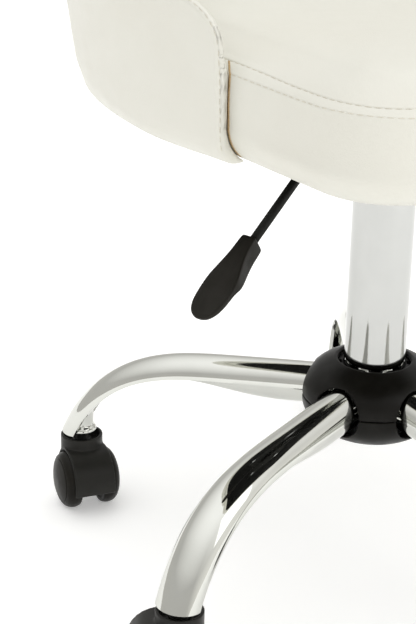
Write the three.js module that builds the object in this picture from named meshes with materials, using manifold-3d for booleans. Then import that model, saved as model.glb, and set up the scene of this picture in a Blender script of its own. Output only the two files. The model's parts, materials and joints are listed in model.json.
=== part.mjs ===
// Swivel tub stool on a five-leg caster base with a gas lift.
// Millimetres, +Z up. The origin is on the floor under the column; the sitter faces -Y.
import * as THREE from "three";
import { mergeVertices } from "three/addons/utils/BufferGeometryUtils.js";
import Module from "manifold-3d";

const wasm = await Module();
wasm.setup();

// ---- driving dimensions ----
const GAP = 0.3; // clearance between pieces that touch
const LEG_COUNT = 5;
const FRONT_LEG_ANGLE = -90;
const LEG_STEP = 360 / LEG_COUNT;

const CASTER_RADIUS = 258; // column axis to caster stem
const CASTER_TRAIL = 13; // stem axis to wheel axle
const CASTER_YAW = [232, -37, 37, 256, 143]; // trailing direction of each caster
const WHEEL_RADIUS = 25;
const WHEEL_SIDES = 24;
const WHEEL_WIDTH = 13.4;
const WHEEL_DOME = 4.5;
const WHEEL_INNER = 10; // centre plane to a wheel's inner face
const AXLE_RADIUS = 3;
const STEM_RADIUS = 5.5;
const HOOD_RADIUS = 27.8;
const HOOD_SIDES = 24;
const HOOD_HALF_WIDTH = 18;
const HOOD_WEB_HALF = 9.4;
const HOOD_LOWEST = 19;
const COLLAR_RADIUS = 18.3;
const CUP_FLOOR = 54;
const COLLAR_TOP = 62;

const LEG_TUBE_RADIUS = 17.4;
const LEG_HALF_WIDTH = 19; // at the floor end, where the tube is pressed flat
const LEG_DEPTH = 15; // crown to rim where the tube is pressed in
const LEG_WALL = 3;
const LEG_END_HEIGHT = 66;
const SOCKET_RADIUS = 11;
const SOCKET_BOTTOM = 66;
const SOCKET_TALLEST = 106;

const SLEEVE_RADIUS = 30;
const SLEEVE_BOTTOM = 117;
const SLEEVE_TOP = 164;
const COVER_RADIUS = 58;
const COVER_CENTRE = 144;
const COVER_HALF_HEIGHT = 37;
const COVER_WALL = 3;
const COVER_FULLNESS = 2.4;
const COLLAR_SLOTS = 10;
const COVER_BOTTOM = 109;
const COVER_TOP = 176;
const COVER_MOUTH = 29.5; // radius of the opening round the column
const COVER_SIDES = 30;

const COLUMN_RADIUS = 25;
const COLUMN_WALL = 1.8;
const COLUMN_BOTTOM = 116;
const COLUMN_TOP = 340;
const CYLINDER_RADIUS = 14;
const CYLINDER_BORE = 11.5;
const CYLINDER_BOTTOM = 142;
const CYLINDER_TOP = 380;
const ROD_RADIUS = 5;
const BUTTON_RADIUS = 4;
const BUTTON_TOP = 384;

const SEAT_BOTTOM = 402.7;
const SEAT_UNDER_ROUND = 29; // radius of the rounded lower edge
const SEAT_SEAM = 466; // lower edge of the band sewn round the top
const SEAT_BAND_TOP = 471.5;
const SEAT_BAND_INSET = 8;
const SEAT_CROWN = 487;
const SEAT_FRONT = -252;
const SEAT_FRONT_CORNER = 70;
const SEAT_CLEARANCE = 1.7; // seat side to the inside of the back
const BOARD_THICKNESS = 14;
const BOARD_INSET = 34;
const BOLT_REACH = 10;

const PLATE_TOP = 402.4;
const PLATE_THICKNESS = 3;
const PLATE_HALF_X = 80;
const PLATE_HALF_Y = 95;
const BOLT_X = 62;
const BOLT_Y = 77;
const BOLT_RADIUS = 4;
const BOSS_RADIUS = 28;
const BOSS_BOTTOM = 352;
const EAR_HALF = 8.5;
const SLOT_HALF = 4.3;
const PIN_RADIUS = 2;

const LEVER_ANGLE = 196; // plan direction of the lever, on the sitter's right
const LEVER_HEIGHT = 388;
const LEVER_PIVOT = 36;
const LEVER_BEND = 74;
const LEVER_SLOPE = 34;
const LEVER_ROD_RADIUS = 3.5;
const LEVER_ROD_END = 196;
const PADDLE_START = 172;
const PADDLE_LENGTH = 73;

const SHELL_HALF_WIDTH = 240;
const SHELL_CENTRE_Y = -60; // where the tub is widest
const SHELL_DEPTH = 310.7; // from there to its rear
const SHELL_EXPONENT = 2.3;
const SHELL_LEAN = 0.145; // outward lean per height
const SHELL_LEAN_FROM = 424;
const SHELL_BOTTOM = 400;
const SHELL_CORNER_LIFT = 4.5; // how far the lower edge rises at the arm's front
const SHELL_CURL = 17; // radius of the lower edge, rolled in under the seat
const CURL_TURN = 95; // degrees the lower edge turns in
const LIP_WALL = 3;
const SHELL_FRONT_Y = -105;
const SHELL_WALL = 7;
const SHELL_PAD = 15;
const ARM_CORNER = 480; // height where the arm's front edge starts to round over
const ARM_TOP = 508;
const ARM_CORNER_SHARE = 0.03;
const BACK_TOP = 772;

// ---- materials ----
const chrome = new THREE.MeshStandardMaterial({ color: 0xd9dbdc, roughness: 0.08, metalness: 1 });
const steel = new THREE.MeshStandardMaterial({ color: 0x8d9094, roughness: 0.4, metalness: 1 });
const blackSteel = new THREE.MeshStandardMaterial({ color: 0x1c1b1a, roughness: 0.45, metalness: 0.3 });
const blackPlastic = new THREE.MeshStandardMaterial({ color: 0x1d1b18, roughness: 0.5, metalness: 0 });
const tyrePlastic = new THREE.MeshStandardMaterial({ color: 0x201e1b, roughness: 0.6, metalness: 0 });
const rubber = new THREE.MeshStandardMaterial({ color: 0x222222, roughness: 0.85, metalness: 0 });
const leather = new THREE.MeshStandardMaterial({ color: 0xf2f1e8, roughness: 0.5, metalness: 0 });
const plywood = new THREE.MeshStandardMaterial({ color: 0xb98f5e, roughness: 0.7, metalness: 0 });

const radians = THREE.MathUtils.degToRad;

// ---- solids ----
function toSolid(geometry) {
  const plain = geometry.index ? geometry.toNonIndexed() : geometry;
  const positions = new THREE.BufferGeometry();
  positions.setAttribute("position", plain.getAttribute("position"));
  const merged = mergeVertices(positions, 1e-3);
  const vertProperties = new Float32Array(merged.attributes.position.array);
  const triVerts = new Uint32Array(merged.index.array);
  return new wasm.Manifold(new wasm.Mesh({ numProp: 3, vertProperties, triVerts }));
}

function toGeometry(solid) {
  const mesh = solid.getMesh();
  const geometry = new THREE.BufferGeometry();
  geometry.setAttribute("position", new THREE.BufferAttribute(mesh.vertProperties, 3));
  geometry.setIndex(new THREE.BufferAttribute(mesh.triVerts, 1));
  return geometry;
}

// Round solid about Z from closed [radius, z] points.
function turned(points, sides) {
  const outline = points.map(([r, z]) => new THREE.Vector2(r, z));
  const geometry = new THREE.LatheGeometry(outline, sides);
  geometry.rotateX(Math.PI / 2);
  const solid = toSolid(geometry);
  return solid.volume() < 0 ? toSolid(reversed(geometry)) : solid;
}

function reversed(geometry) {
  const plain = geometry.index ? geometry.toNonIndexed() : geometry.clone();
  const p = plain.getAttribute("position").array;
  for (let i = 0; i < p.length; i += 9) {
    for (let k = 0; k < 3; k += 1) {
      [p[i + 3 + k], p[i + 6 + k]] = [p[i + 6 + k], p[i + 3 + k]];
    }
  }
  return plain;
}

// Plain cylinder or cone along Z, from z0 to z1.
function rod(radius, z0, z1, sides = 16, topRadius = radius) {
  return turned([[0, z0], [radius, z0], [topRadius, z1], [0, z1]], sides);
}

function ring(outer, inner, z0, z1, sides = 24) {
  return turned([[inner, z0], [outer, z0], [outer, z1], [inner, z1], [inner, z0]], sides);
}

function block(x0, x1, y0, y1, z0, z1) {
  const geometry = new THREE.BoxGeometry(x1 - x0, y1 - y0, z1 - z0);
  geometry.translate((x0 + x1) / 2, (y0 + y1) / 2, (z0 + z1) / 2);
  return toSolid(geometry);
}

function placed(solid, matrix) {
  return toSolid(toGeometry(solid).applyMatrix4(matrix));
}

function turnedBy(solid, degrees) {
  return placed(solid, new THREE.Matrix4().makeRotationZ(radians(degrees)));
}

// Closed loft through rings of points; every ring has the same number of points.
function loft(rings) {
  const count = rings[0].length;
  const positions = [];
  const put = (a, b, c) => positions.push(...a, ...b, ...c);
  for (let i = 0; i + 1 < rings.length; i += 1) {
    for (let j = 0; j < count; j += 1) {
      const k = (j + 1) % count;
      put(rings[i][j], rings[i][k], rings[i + 1][k]);
      put(rings[i][j], rings[i + 1][k], rings[i + 1][j]);
    }
  }
  for (const [points, flip] of [[rings[0], true], [rings[rings.length - 1], false]]) {
    const middle = [0, 1, 2].map((axis) => points.reduce((sum, p) => sum + p[axis], 0) / count);
    for (let j = 0; j < count; j += 1) {
      const k = (j + 1) % count;
      if (flip) put(middle, points[k], points[j]);
      else put(middle, points[j], points[k]);
    }
  }
  const geometry = new THREE.BufferGeometry();
  geometry.setAttribute("position", new THREE.Float32BufferAttribute(positions, 3));
  const solid = toSolid(geometry);
  return solid.volume() < 0 ? toSolid(reversed(geometry)) : solid;
}

const assembly = new THREE.Group();

function add(name, solid, material, parent = assembly) {
  const mesh = new THREE.Mesh(toGeometry(solid), material);
  mesh.name = name;
  parent.add(mesh);
  return mesh;
}

// ---- legs ----
// The crown line of a leg, as [distance from the column, height].
const LEG_CROWN = new THREE.CatmullRomCurve3(
  [[20, 164], [56, 162.2], [105, 158.3], [149, 154.2], [176, 149.8], [200, 142.6], [222, 131.6],
    [242, 116], [258, 97], [268, 80.5], [276, 63], [280, 52]].map(([r, z]) => new THREE.Vector3(r, 0, z)),
);
const LEG_AXIS_HEIGHT = 145;
const LEG_STATIONS = 12;
const LEG_ARC_POINTS = 7;
const PRESS_START = 0.18; // share of the leg where the underside starts to be pressed in
const PRESS_END = 0.75;
const RIM_ROUND = 0.2;

// A round tube at the hub whose underside is pressed up into an open channel further out.
function legSolid(extraOutside, innerWall) {
  const rings = [];
  for (let i = 0; i < LEG_STATIONS; i += 1) {
    const t = i / (LEG_STATIONS - 1);
    const crown = LEG_CROWN.getPointAt(t);
    const along = LEG_CROWN.getTangentAt(t);
    const press = THREE.MathUtils.smoothstep(t, PRESS_START, PRESS_END);
    const half = THREE.MathUtils.lerp(LEG_TUBE_RADIUS, LEG_HALF_WIDTH, press);
    const depth = THREE.MathUtils.lerp(LEG_TUBE_RADIUS, LEG_DEPTH, press);
    const under = THREE.MathUtils.lerp(-LEG_TUBE_RADIUS, depth - innerWall, press);
    const innerHalf = half - innerWall * press;
    const grow = 1 + extraOutside / half;
    const points = [];
    const put = (across, below) => points.push([
      crown.x + along.z * below,
      across,
      crown.z - along.x * below,
    ]);
    for (let j = 0; j <= LEG_ARC_POINTS; j += 1) {
      const angle = (Math.PI * j) / LEG_ARC_POINTS;
      put(half * grow * Math.cos(angle), depth - depth * grow * Math.sin(angle));
    }
    for (let j = 0; j <= LEG_ARC_POINTS; j += 1) {
      const angle = Math.PI - (Math.PI * j) / LEG_ARC_POINTS;
      const rim = j === 0 || j === LEG_ARC_POINTS ? RIM_ROUND : 0;
      put((innerHalf - rim) * Math.cos(angle), depth + rim - under * Math.sin(angle));
    }
    rings.push(points);
  }
  return loft(rings);
}

function legBase() {
  const hollow = rod(LEG_TUBE_RADIUS - 2, 0, 66, 14, LEG_TUBE_RADIUS - 8);
  const alongX = new THREE.Matrix4().makeRotationY(Math.PI / 2);
  alongX.setPosition(20, 0, LEG_AXIS_HEIGHT);
  return legSolid(0, LEG_WALL)
    .subtract(placed(hollow, alongX))
    .subtract(rod(SLEEVE_RADIUS + GAP, 100, 200, 28))
    .subtract(block(200, 320, -40, 40, 0, LEG_END_HEIGHT));
}

// Short tube under the leg's end that grips the caster stem; its top follows the leg's inside.
function casterSocket() {
  const tall = ring(SOCKET_RADIUS, STEM_RADIUS + GAP, SOCKET_BOTTOM, SOCKET_TALLEST, 16);
  const atRadius = placed(tall, new THREE.Matrix4().makeTranslation(CASTER_RADIUS, 0, 0));
  return atRadius.subtract(legSolid(22, LEG_WALL + GAP));
}

// ---- casters, built with the stem on Z and the wheels trailing along +X ----
function alongY(solid, x, z) {
  const matrix = new THREE.Matrix4().makeRotationX(-Math.PI / 2);
  matrix.setPosition(x, 0, z);
  return placed(solid, matrix);
}

function casterHood() {
  const drum = rod(HOOD_RADIUS, -HOOD_HALF_WIDTH, HOOD_HALF_WIDTH, HOOD_SIDES);
  const wide = alongY(drum, CASTER_TRAIL, WHEEL_RADIUS);
  const tunnel = WHEEL_RADIUS + 1;
  const left = alongY(rod(tunnel, HOOD_WEB_HALF, 40, HOOD_SIDES), CASTER_TRAIL, WHEEL_RADIUS);
  const right = alongY(rod(tunnel, -40, -HOOD_WEB_HALF, HOOD_SIDES), CASTER_TRAIL, WHEEL_RADIUS);
  const collar = rod(COLLAR_RADIUS, 38, COLLAR_TOP, 20);
  const cup = rod(COLLAR_RADIUS - 2.2, CUP_FLOOR, COLLAR_TOP + 1, 20);
  const stemHole = rod(STEM_RADIUS + GAP, 30, 60, 12);
  const noseCut = block(-60, CASTER_TRAIL - 4, -30, 30, -10, 34);
  const lowCut = block(CASTER_TRAIL - 10, 80, -30, 30, -10, HOOD_LOWEST);
  const web = alongY(rod(12.5, -HOOD_WEB_HALF, HOOD_WEB_HALF, 16), CASTER_TRAIL, WHEEL_RADIUS);
  const axleHole = alongY(rod(AXLE_RADIUS + GAP, -40, 40, 10), CASTER_TRAIL, WHEEL_RADIUS);
  const wheelRoom = left.add(right);
  return wide
    .add(collar)
    .subtract(wheelRoom)
    .subtract(noseCut)
    .subtract(lowCut)
    .add(web)
    .subtract(cup)
    .subtract(stemHole)
    .subtract(axleHole);
}

function casterWheel(side) {
  const facet = WHEEL_RADIUS / Math.cos(Math.PI / WHEEL_SIDES);
  const face = WHEEL_INNER + WHEEL_WIDTH;
  const profile = [
    [AXLE_RADIUS + GAP, WHEEL_INNER],
    [facet, WHEEL_INNER],
    [facet, face - 5],
    [facet - 2.4, face - 0.6],
    [14, face + WHEEL_DOME * 0.8],
    [0, face + WHEEL_DOME],
    [0, face],
    [AXLE_RADIUS + GAP, face],
    [AXLE_RADIUS + GAP, WHEEL_INNER],
  ];
  const wheel = turnedBy(turned(profile, WHEEL_SIDES), 180 / WHEEL_SIDES);
  const matrix = new THREE.Matrix4().makeRotationX((-side * Math.PI) / 2);
  matrix.setPosition(CASTER_TRAIL, 0, WHEEL_RADIUS);
  return placed(wheel, matrix);
}

function casterStem() {
  const flange = CUP_FLOOR + GAP;
  return turned([[0, 40], [STEM_RADIUS, 40], [STEM_RADIUS, flange], [8, flange + 0.1], [8, flange + 2],
    [STEM_RADIUS, flange + 2.2], [STEM_RADIUS, 75], [3.5, 78], [0, 78]], 10);
}

const AXLE_HALF = WHEEL_INNER + WHEEL_WIDTH - GAP;

function addLegAndCaster(index) {
  const number = index + 1;
  const group = new THREE.Group();
  group.rotation.z = radians(FRONT_LEG_ANGLE + LEG_STEP * index);
  assembly.add(group);
  add(`leg_${number}`, LEG, chrome, group);
  add(`caster_socket_${number}`, SOCKET, chrome, group);

  const caster = new THREE.Group();
  caster.position.x = CASTER_RADIUS;
  caster.rotation.z = radians(CASTER_YAW[index]) - group.rotation.z;
  group.add(caster);
  add(`caster_stem_${number}`, STEM, steel, caster);
  add(`caster_hood_${number}`, HOOD, blackPlastic, caster);
  add(`caster_axle_${number}`, AXLE, steel, caster);
  add(`wheel_left_${number}`, WHEEL_LEFT, tyrePlastic, caster);
  add(`wheel_right_${number}`, WHEEL_RIGHT, tyrePlastic, caster);
}

const LEG = legBase();
const SOCKET = casterSocket();
const STEM = casterStem();
const HOOD = casterHood();
const AXLE = alongY(rod(AXLE_RADIUS, -AXLE_HALF, AXLE_HALF, 12), CASTER_TRAIL, WHEEL_RADIUS);
const WHEEL_LEFT = casterWheel(1);
const WHEEL_RIGHT = casterWheel(-1);
for (let index = 0; index < LEG_COUNT; index += 1) addLegAndCaster(index);

// ---- hub ----
// Half of the cover's squashed-ball outline, from one height to another.
function coverOutline(shrink, from, to, steps) {
  const points = [];
  for (let i = 0; i <= steps; i += 1) {
    const z = from + ((to - from) * i) / steps;
    const lift = Math.abs(z - COVER_CENTRE) / (COVER_HALF_HEIGHT - shrink);
    const radius = (COVER_RADIUS - shrink) * Math.sqrt(Math.max(0, 1 - lift ** COVER_FULLNESS));
    points.push([radius, z]);
  }
  return points;
}

function legOpenings() {
  let openings = null;
  for (let index = 0; index < LEG_COUNT; index += 1) {
    const tunnel = rod(LEG_TUBE_RADIUS + 3.4, 38, 90, 16);
    const matrix = new THREE.Matrix4().makeRotationZ(radians(FRONT_LEG_ANGLE + LEG_STEP * index));
    matrix.multiply(new THREE.Matrix4().makeTranslation(0, 0, LEG_AXIS_HEIGHT - 1));
    matrix.multiply(new THREE.Matrix4().makeRotationY(Math.PI / 2));
    const opening = placed(tunnel, matrix);
    openings = openings ? openings.add(opening) : opening;
  }
  return openings;
}

function coverUpper(openings) {
  const outer = coverOutline(0, COVER_CENTRE, COVER_TOP, 5);
  const inner = coverOutline(COVER_WALL, COVER_TOP - COVER_WALL - 1, COVER_CENTRE, 5);
  const mouth = [[COVER_MOUTH, COVER_TOP - 1.5], [COVER_MOUTH, COVER_TOP - COVER_WALL - 1]];
  return turned([...outer, ...mouth, ...inner, outer[0]], COVER_SIDES).subtract(openings);
}

function coverLower(openings) {
  const split = COVER_CENTRE - GAP;
  const outer = coverOutline(0, COVER_BOTTOM, split, 5);
  const inner = coverOutline(COVER_WALL, split, COVER_BOTTOM + COVER_WALL, 5);
  const profile = [[0, COVER_BOTTOM], ...outer, ...inner, [0, COVER_BOTTOM + COVER_WALL]];
  return turned(profile, COVER_SIDES).subtract(openings);
}

function collarRing() {
  const bottom = SLEEVE_TOP + GAP;
  const band = ring(COVER_MOUTH - 0.6, COLUMN_RADIUS + GAP, bottom, 172, COVER_SIDES);
  let slots = null;
  for (let i = 0; i < COLLAR_SLOTS; i += 1) {
    const slot = turnedBy(block(COLUMN_RADIUS + 1.6, 40, -3, 3, 168.5, 182), (360 / COLLAR_SLOTS) * i);
    slots = slots ? slots.add(slot) : slot;
  }
  return band.subtract(slots);
}

const OPENINGS = legOpenings();
add("hub_sleeve", ring(SLEEVE_RADIUS, COLUMN_RADIUS + GAP, SLEEVE_BOTTOM, SLEEVE_TOP, 28), steel);
add("hub_cover_upper", coverUpper(OPENINGS), blackPlastic);
add("hub_cover_lower", coverLower(OPENINGS), blackPlastic);
add("hub_collar_ring", collarRing(), blackPlastic);

// ---- gas lift ----
const COLUMN_FLOOR = COLUMN_BOTTOM + 4;
const COLUMN_BORE = COLUMN_RADIUS - COLUMN_WALL;
const FLOOR_HOLE = ROD_RADIUS + 1;
const BEARING_TOP = COLUMN_FLOOR + 5;
const GLAND_BOTTOM = CYLINDER_BOTTOM - 4;
const PISTON_TOP = 270;
const PISTON_THICKNESS = 10;
const TAPER_START = 352;
const BUTTON_LENGTH = 24;

function columnTube() {
  return turned([
    [FLOOR_HOLE, COLUMN_BOTTOM], [COLUMN_RADIUS, COLUMN_BOTTOM], [COLUMN_RADIUS, COLUMN_TOP],
    [COLUMN_BORE, COLUMN_TOP], [COLUMN_BORE, COLUMN_FLOOR], [FLOOR_HOLE, COLUMN_FLOOR],
    [FLOOR_HOLE, COLUMN_BOTTOM],
  ], 32);
}

function guideBush() {
  const bore = CYLINDER_RADIUS + GAP;
  const body = ring(COLUMN_BORE - GAP, bore, COLUMN_TOP - 70, COLUMN_TOP + 1, 28);
  const lip = ring(COLUMN_RADIUS - 0.5, bore, COLUMN_TOP + GAP, COLUMN_TOP + 3, 28);
  return body.add(lip);
}

function gasCylinder() {
  const bore = rod(CYLINDER_BORE, CYLINDER_BOTTOM - 1, TAPER_START - 6, 18);
  const body = turned([[0, CYLINDER_BOTTOM], [CYLINDER_RADIUS, CYLINDER_BOTTOM],
    [CYLINDER_RADIUS, TAPER_START], [CYLINDER_RADIUS - 1, CYLINDER_TOP], [0, CYLINDER_TOP]], 24);
  const buttonHole = rod(BUTTON_RADIUS + GAP, BUTTON_TOP - BUTTON_LENGTH - 6, CYLINDER_TOP + 5, 12);
  return body.subtract(bore).subtract(buttonHole);
}

function cylinderGland() {
  const plug = ring(CYLINDER_BORE - GAP, ROD_RADIUS + GAP, CYLINDER_BOTTOM - 0.5, CYLINDER_BOTTOM + 10, 18);
  const lip = ring(CYLINDER_RADIUS, ROD_RADIUS + GAP, GLAND_BOTTOM, CYLINDER_BOTTOM - GAP, 18);
  return plug.add(lip);
}

function pistonRod() {
  return turned([
    [0, COLUMN_BOTTOM - 4], [ROD_RADIUS, COLUMN_BOTTOM - 4], [ROD_RADIUS, PISTON_TOP - PISTON_THICKNESS],
    [CYLINDER_BORE - 0.5, PISTON_TOP - PISTON_THICKNESS], [CYLINDER_BORE - 0.5, PISTON_TOP],
    [0, PISTON_TOP],
  ], 16);
}

add("column_tube", columnTube(), chrome);
add("guide_bush", guideBush(), blackPlastic);
add("thrust_bearing", ring(12, ROD_RADIUS + GAP, COLUMN_FLOOR + GAP, BEARING_TOP, 16), steel);
add("rod_bumper", ring(11, ROD_RADIUS + GAP, BEARING_TOP + GAP, GLAND_BOTTOM - GAP, 16), rubber);
add("rod_clip", ring(9, ROD_RADIUS + GAP, COLUMN_BOTTOM - 2, COLUMN_BOTTOM - GAP, 14), steel);
add("piston_rod", pistonRod(), steel);
add("gas_cylinder", gasCylinder(), blackSteel);
add("cylinder_gland", cylinderGland(), steel);
add("release_button", rod(BUTTON_RADIUS, BUTTON_TOP - BUTTON_LENGTH, BUTTON_TOP, 12), steel);

// ---- seat plate, lever and bolts ----
function boltPlaces() {
  return [[-1, -1], [1, -1], [1, 1], [-1, 1]].map(([sx, sy]) => [sx * BOLT_X, sy * BOLT_Y]);
}

function inLever(solid) {
  return turnedBy(solid, LEVER_ANGLE);
}

function acrossLever(solid, r, z) {
  return inLever(alongY(solid, r, z));
}

function seatPlate() {
  const under = PLATE_TOP - PLATE_THICKNESS;
  let plate = block(-PLATE_HALF_X, PLATE_HALF_X, -PLATE_HALF_Y, PLATE_HALF_Y, under, PLATE_TOP);
  for (const [x, y] of boltPlaces()) {
    const hole = rod(BOLT_RADIUS + GAP, under - 5, PLATE_TOP + 5, 12);
    plate = plate.subtract(placed(hole, new THREE.Matrix4().makeTranslation(x, y, 0)));
  }
  const boss = rod(BOSS_RADIUS, BOSS_BOTTOM, under + 1, 24);
  const chamber = rod(BOSS_RADIUS - 3, CYLINDER_TOP + GAP, under - 2, 20);
  const taper = rod(CYLINDER_RADIUS + 0.5, BOSS_BOTTOM - 5, CYLINDER_TOP + 1, 24);
  const ears = inLever(block(20, LEVER_PIVOT + 7, -EAR_HALF, EAR_HALF, LEVER_HEIGHT - 8, under + 1));
  const slot = inLever(block(0, LEVER_PIVOT + 20, -SLOT_HALF, SLOT_HALF, LEVER_HEIGHT - 10, under - 1.2));
  const pinHole = acrossLever(rod(PIN_RADIUS + GAP, -20, 20, 12), LEVER_PIVOT, LEVER_HEIGHT);
  return plate.add(boss).add(ears).subtract(chamber).subtract(taper).subtract(slot).subtract(pinHole);
}

// Bent round rod: level above the release button, then sloping down and out to the paddle.
function leverRod() {
  const fall = Math.tan(radians(LEVER_SLOPE));
  const end = new THREE.Vector3(LEVER_ROD_END, 0, LEVER_HEIGHT - (LEVER_ROD_END - LEVER_BEND) * fall);
  const corner = new THREE.Vector3(LEVER_BEND, 0, LEVER_HEIGHT);
  const before = new THREE.Vector3(LEVER_BEND - 10, 0, LEVER_HEIGHT);
  const after = corner.clone().lerp(end, 0.08);
  const bend = new THREE.QuadraticBezierCurve3(before, corner, after);
  const path = [new THREE.Vector3(-3, 0, LEVER_HEIGHT), ...bend.getPoints(4), end];
  const sides = 10;
  const rings = path.map((point, i) => {
    const next = path[Math.min(i + 1, path.length - 1)];
    const ahead = next.clone().sub(path[Math.max(i - 1, 0)]).normalize();
    return Array.from({ length: sides }, (_, j) => {
      const angle = (2 * Math.PI * j) / sides;
      const up = LEVER_ROD_RADIUS * Math.sin(angle);
      return [point.x - ahead.z * up, LEVER_ROD_RADIUS * Math.cos(angle), point.z + ahead.x * up];
    });
  });
  const eye = alongY(rod(5, -SLOT_HALF + 0.6, SLOT_HALF - 0.6, 14), LEVER_PIVOT, LEVER_HEIGHT);
  const hole = alongY(rod(PIN_RADIUS + GAP, -20, 20, 12), LEVER_PIVOT, LEVER_HEIGHT);
  return inLever(loft(rings).add(eye).subtract(hole));
}

// Paddle stations from the rod to the tip: share of its length, half width, thickness above
// and below its middle.
const PADDLE_STATIONS = [
  [0, 5.8, 7.2, 8], [0.12, 6.4, 7.2, 8.2], [0.24, 7.4, 6.6, 8], [0.36, 9.8, 5.6, 7.6],
  [0.5, 12.4, 4.4, 6.2], [0.6, 13.3, 3.6, 3], [0.76, 13.2, 3, 2.2], [0.88, 11.6, 2.6, 2],
  [0.96, 7.8, 2, 1.6], [1, 3, 1.2, 1],
];

// Flat paddle: a wide rounded blade on a thick boxy socket where the rod enters.
function leverPaddle() {
  const slope = radians(LEVER_SLOPE);
  const startHeight = LEVER_HEIGHT - (PADDLE_START - LEVER_BEND) * Math.tan(slope);
  const corners = 12;
  const boxy = (value) => Math.sign(value) * Math.abs(value) ** 0.4;
  const rings = PADDLE_STATIONS.map(([share, half, above, below]) => {
    const x = PADDLE_START + share * PADDLE_LENGTH * Math.cos(slope);
    const z = startHeight - share * PADDLE_LENGTH * Math.sin(slope);
    return Array.from({ length: corners }, (_, j) => {
      const angle = (2 * Math.PI * (j + 0.5)) / corners;
      const up = (Math.sin(angle) > 0 ? above : below) * boxy(Math.sin(angle));
      return [x + up * Math.sin(slope), half * boxy(Math.cos(angle)), z + up * Math.cos(slope)];
    });
  });
  const depth = (LEVER_ROD_END - PADDLE_START) / Math.cos(slope) + 1;
  const matrix = new THREE.Matrix4().makeTranslation(PADDLE_START, 0, startHeight);
  matrix.multiply(new THREE.Matrix4().makeRotationY(Math.PI / 2 + slope));
  const socket = placed(rod(LEVER_ROD_RADIUS + GAP, -30, depth, 12), matrix);
  return inLever(loft(rings).subtract(socket));
}

function seatBolt([x, y]) {
  const under = PLATE_TOP - PLATE_THICKNESS - GAP;
  const shank = rod(BOLT_RADIUS, under - 1, PLATE_TOP + BOLT_REACH, 10);
  const bolt = shank.add(rod(7.5, under - 4.5, under, 6));
  return placed(bolt, new THREE.Matrix4().makeTranslation(x, y, 0));
}

add("mechanism_plate", seatPlate(), blackSteel);
const PIN = rod(PIN_RADIUS, -EAR_HALF - 1, EAR_HALF + 1, 10);
add("lever_pivot_pin", acrossLever(PIN, LEVER_PIVOT, LEVER_HEIGHT), steel);
add("lever_rod", leverRod(), blackSteel);
add("lever_paddle", leverPaddle(), blackPlastic);
boltPlaces().forEach((place, i) => add(`seat_bolt_${i + 1}`, seatBolt(place), steel));

// ---- plan outlines shared by the seat and the back ----
// A point of the tub's plan curve, drawn inwards by inset; angle 0 is the sitter's left side.
function tubPoint(angle, inset) {
  const power = 2 / SHELL_EXPONENT;
  const across = (SHELL_HALF_WIDTH - inset) * Math.abs(Math.cos(angle)) ** power;
  return [
    Math.sign(Math.cos(angle)) * across,
    SHELL_CENTRE_Y + (SHELL_DEPTH - inset) * Math.sin(angle) ** power,
  ];
}

// ---- seat ----
const SEAT_INSET = SHELL_WALL + SEAT_CLEARANCE;

// Seat outline, drawn inwards by inset: the tub's curve behind, rounded corners in front.
function seatRing(inset, z) {
  const points = [];
  const rearSteps = 14;
  for (let i = 0; i <= rearSteps; i += 1) {
    const [x, y] = tubPoint((Math.PI * i) / rearSteps, SEAT_INSET + inset);
    points.push([x, y, z]);
  }
  const half = SHELL_HALF_WIDTH - SEAT_INSET - inset;
  const radius = SEAT_FRONT_CORNER - inset;
  const cornerSteps = 5;
  for (const [side, from] of [[-1, 180], [1, 270]]) {
    for (let i = 0; i <= cornerSteps; i += 1) {
      const angle = radians(from + (90 * i) / cornerSteps);
      const x = side * (half - radius) + radius * Math.cos(angle);
      points.push([x, SEAT_FRONT + inset + radius + radius * Math.sin(angle), z]);
    }
  }
  return points;
}

function seatPad() {
  const boardTop = SEAT_BOTTOM + BOARD_THICKNESS + GAP;
  const under = [90, 67.5, 45, 22.5, 0].map((angle) => seatRing(
    SEAT_UNDER_ROUND * (1 - Math.cos(radians(angle))),
    SEAT_BOTTOM + SEAT_UNDER_ROUND * (1 - Math.sin(radians(angle))),
  ));
  const pad = loft([
    ...under, seatRing(0.3, SEAT_SEAM), seatRing(SEAT_BAND_INSET, SEAT_BAND_TOP),
    seatRing(28, SEAT_CROWN - 5), seatRing(69, SEAT_CROWN),
  ]);
  const inset = BOARD_INSET - GAP;
  const recess = loft([seatRing(inset, SEAT_BOTTOM - 5), seatRing(inset, boardTop)]);
  return pad.subtract(recess);
}

function seatBoard() {
  let board = loft([
    seatRing(BOARD_INSET, SEAT_BOTTOM),
    seatRing(BOARD_INSET, SEAT_BOTTOM + BOARD_THICKNESS),
  ]);
  for (const [x, y] of boltPlaces()) {
    const hole = rod(BOLT_RADIUS + GAP, SEAT_BOTTOM - 5, PLATE_TOP + BOLT_REACH + GAP, 12);
    board = board.subtract(placed(hole, new THREE.Matrix4().makeTranslation(x, y, 0)));
  }
  return board;
}

add("seat_board", seatBoard(), plywood);
add("seat_pad", seatPad(), leather);

// ---- wrap-around back ----
const SHELL_RINGS = 25;
const CURL_STEPS = 3;
const UPRIGHT_STEPS = 4;
const PAD_FIRST_RING = 3;
const PAD_ABOVE_SEAT = 2;
const FRONT_RUN = (SHELL_CENTRE_Y - SHELL_FRONT_Y) / 1050; // share of the outline before the curve

// Plan point at a share of the outline: 0 is the right arm's front edge, 1 the left arm's.
function shellPlan(share, inset) {
  const end = Math.min(share, 1 - share);
  if (end < FRONT_RUN) {
    const side = share < 0.5 ? -1 : 1;
    const forward = (1 - end / FRONT_RUN) * (SHELL_CENTRE_Y - SHELL_FRONT_Y);
    return [side * (SHELL_HALF_WIDTH - inset), SHELL_CENTRE_Y - forward];
  }
  const turn = (share - FRONT_RUN) / (1 - 2 * FRONT_RUN);
  return tubPoint(Math.PI * (1 - turn), inset);
}

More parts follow.
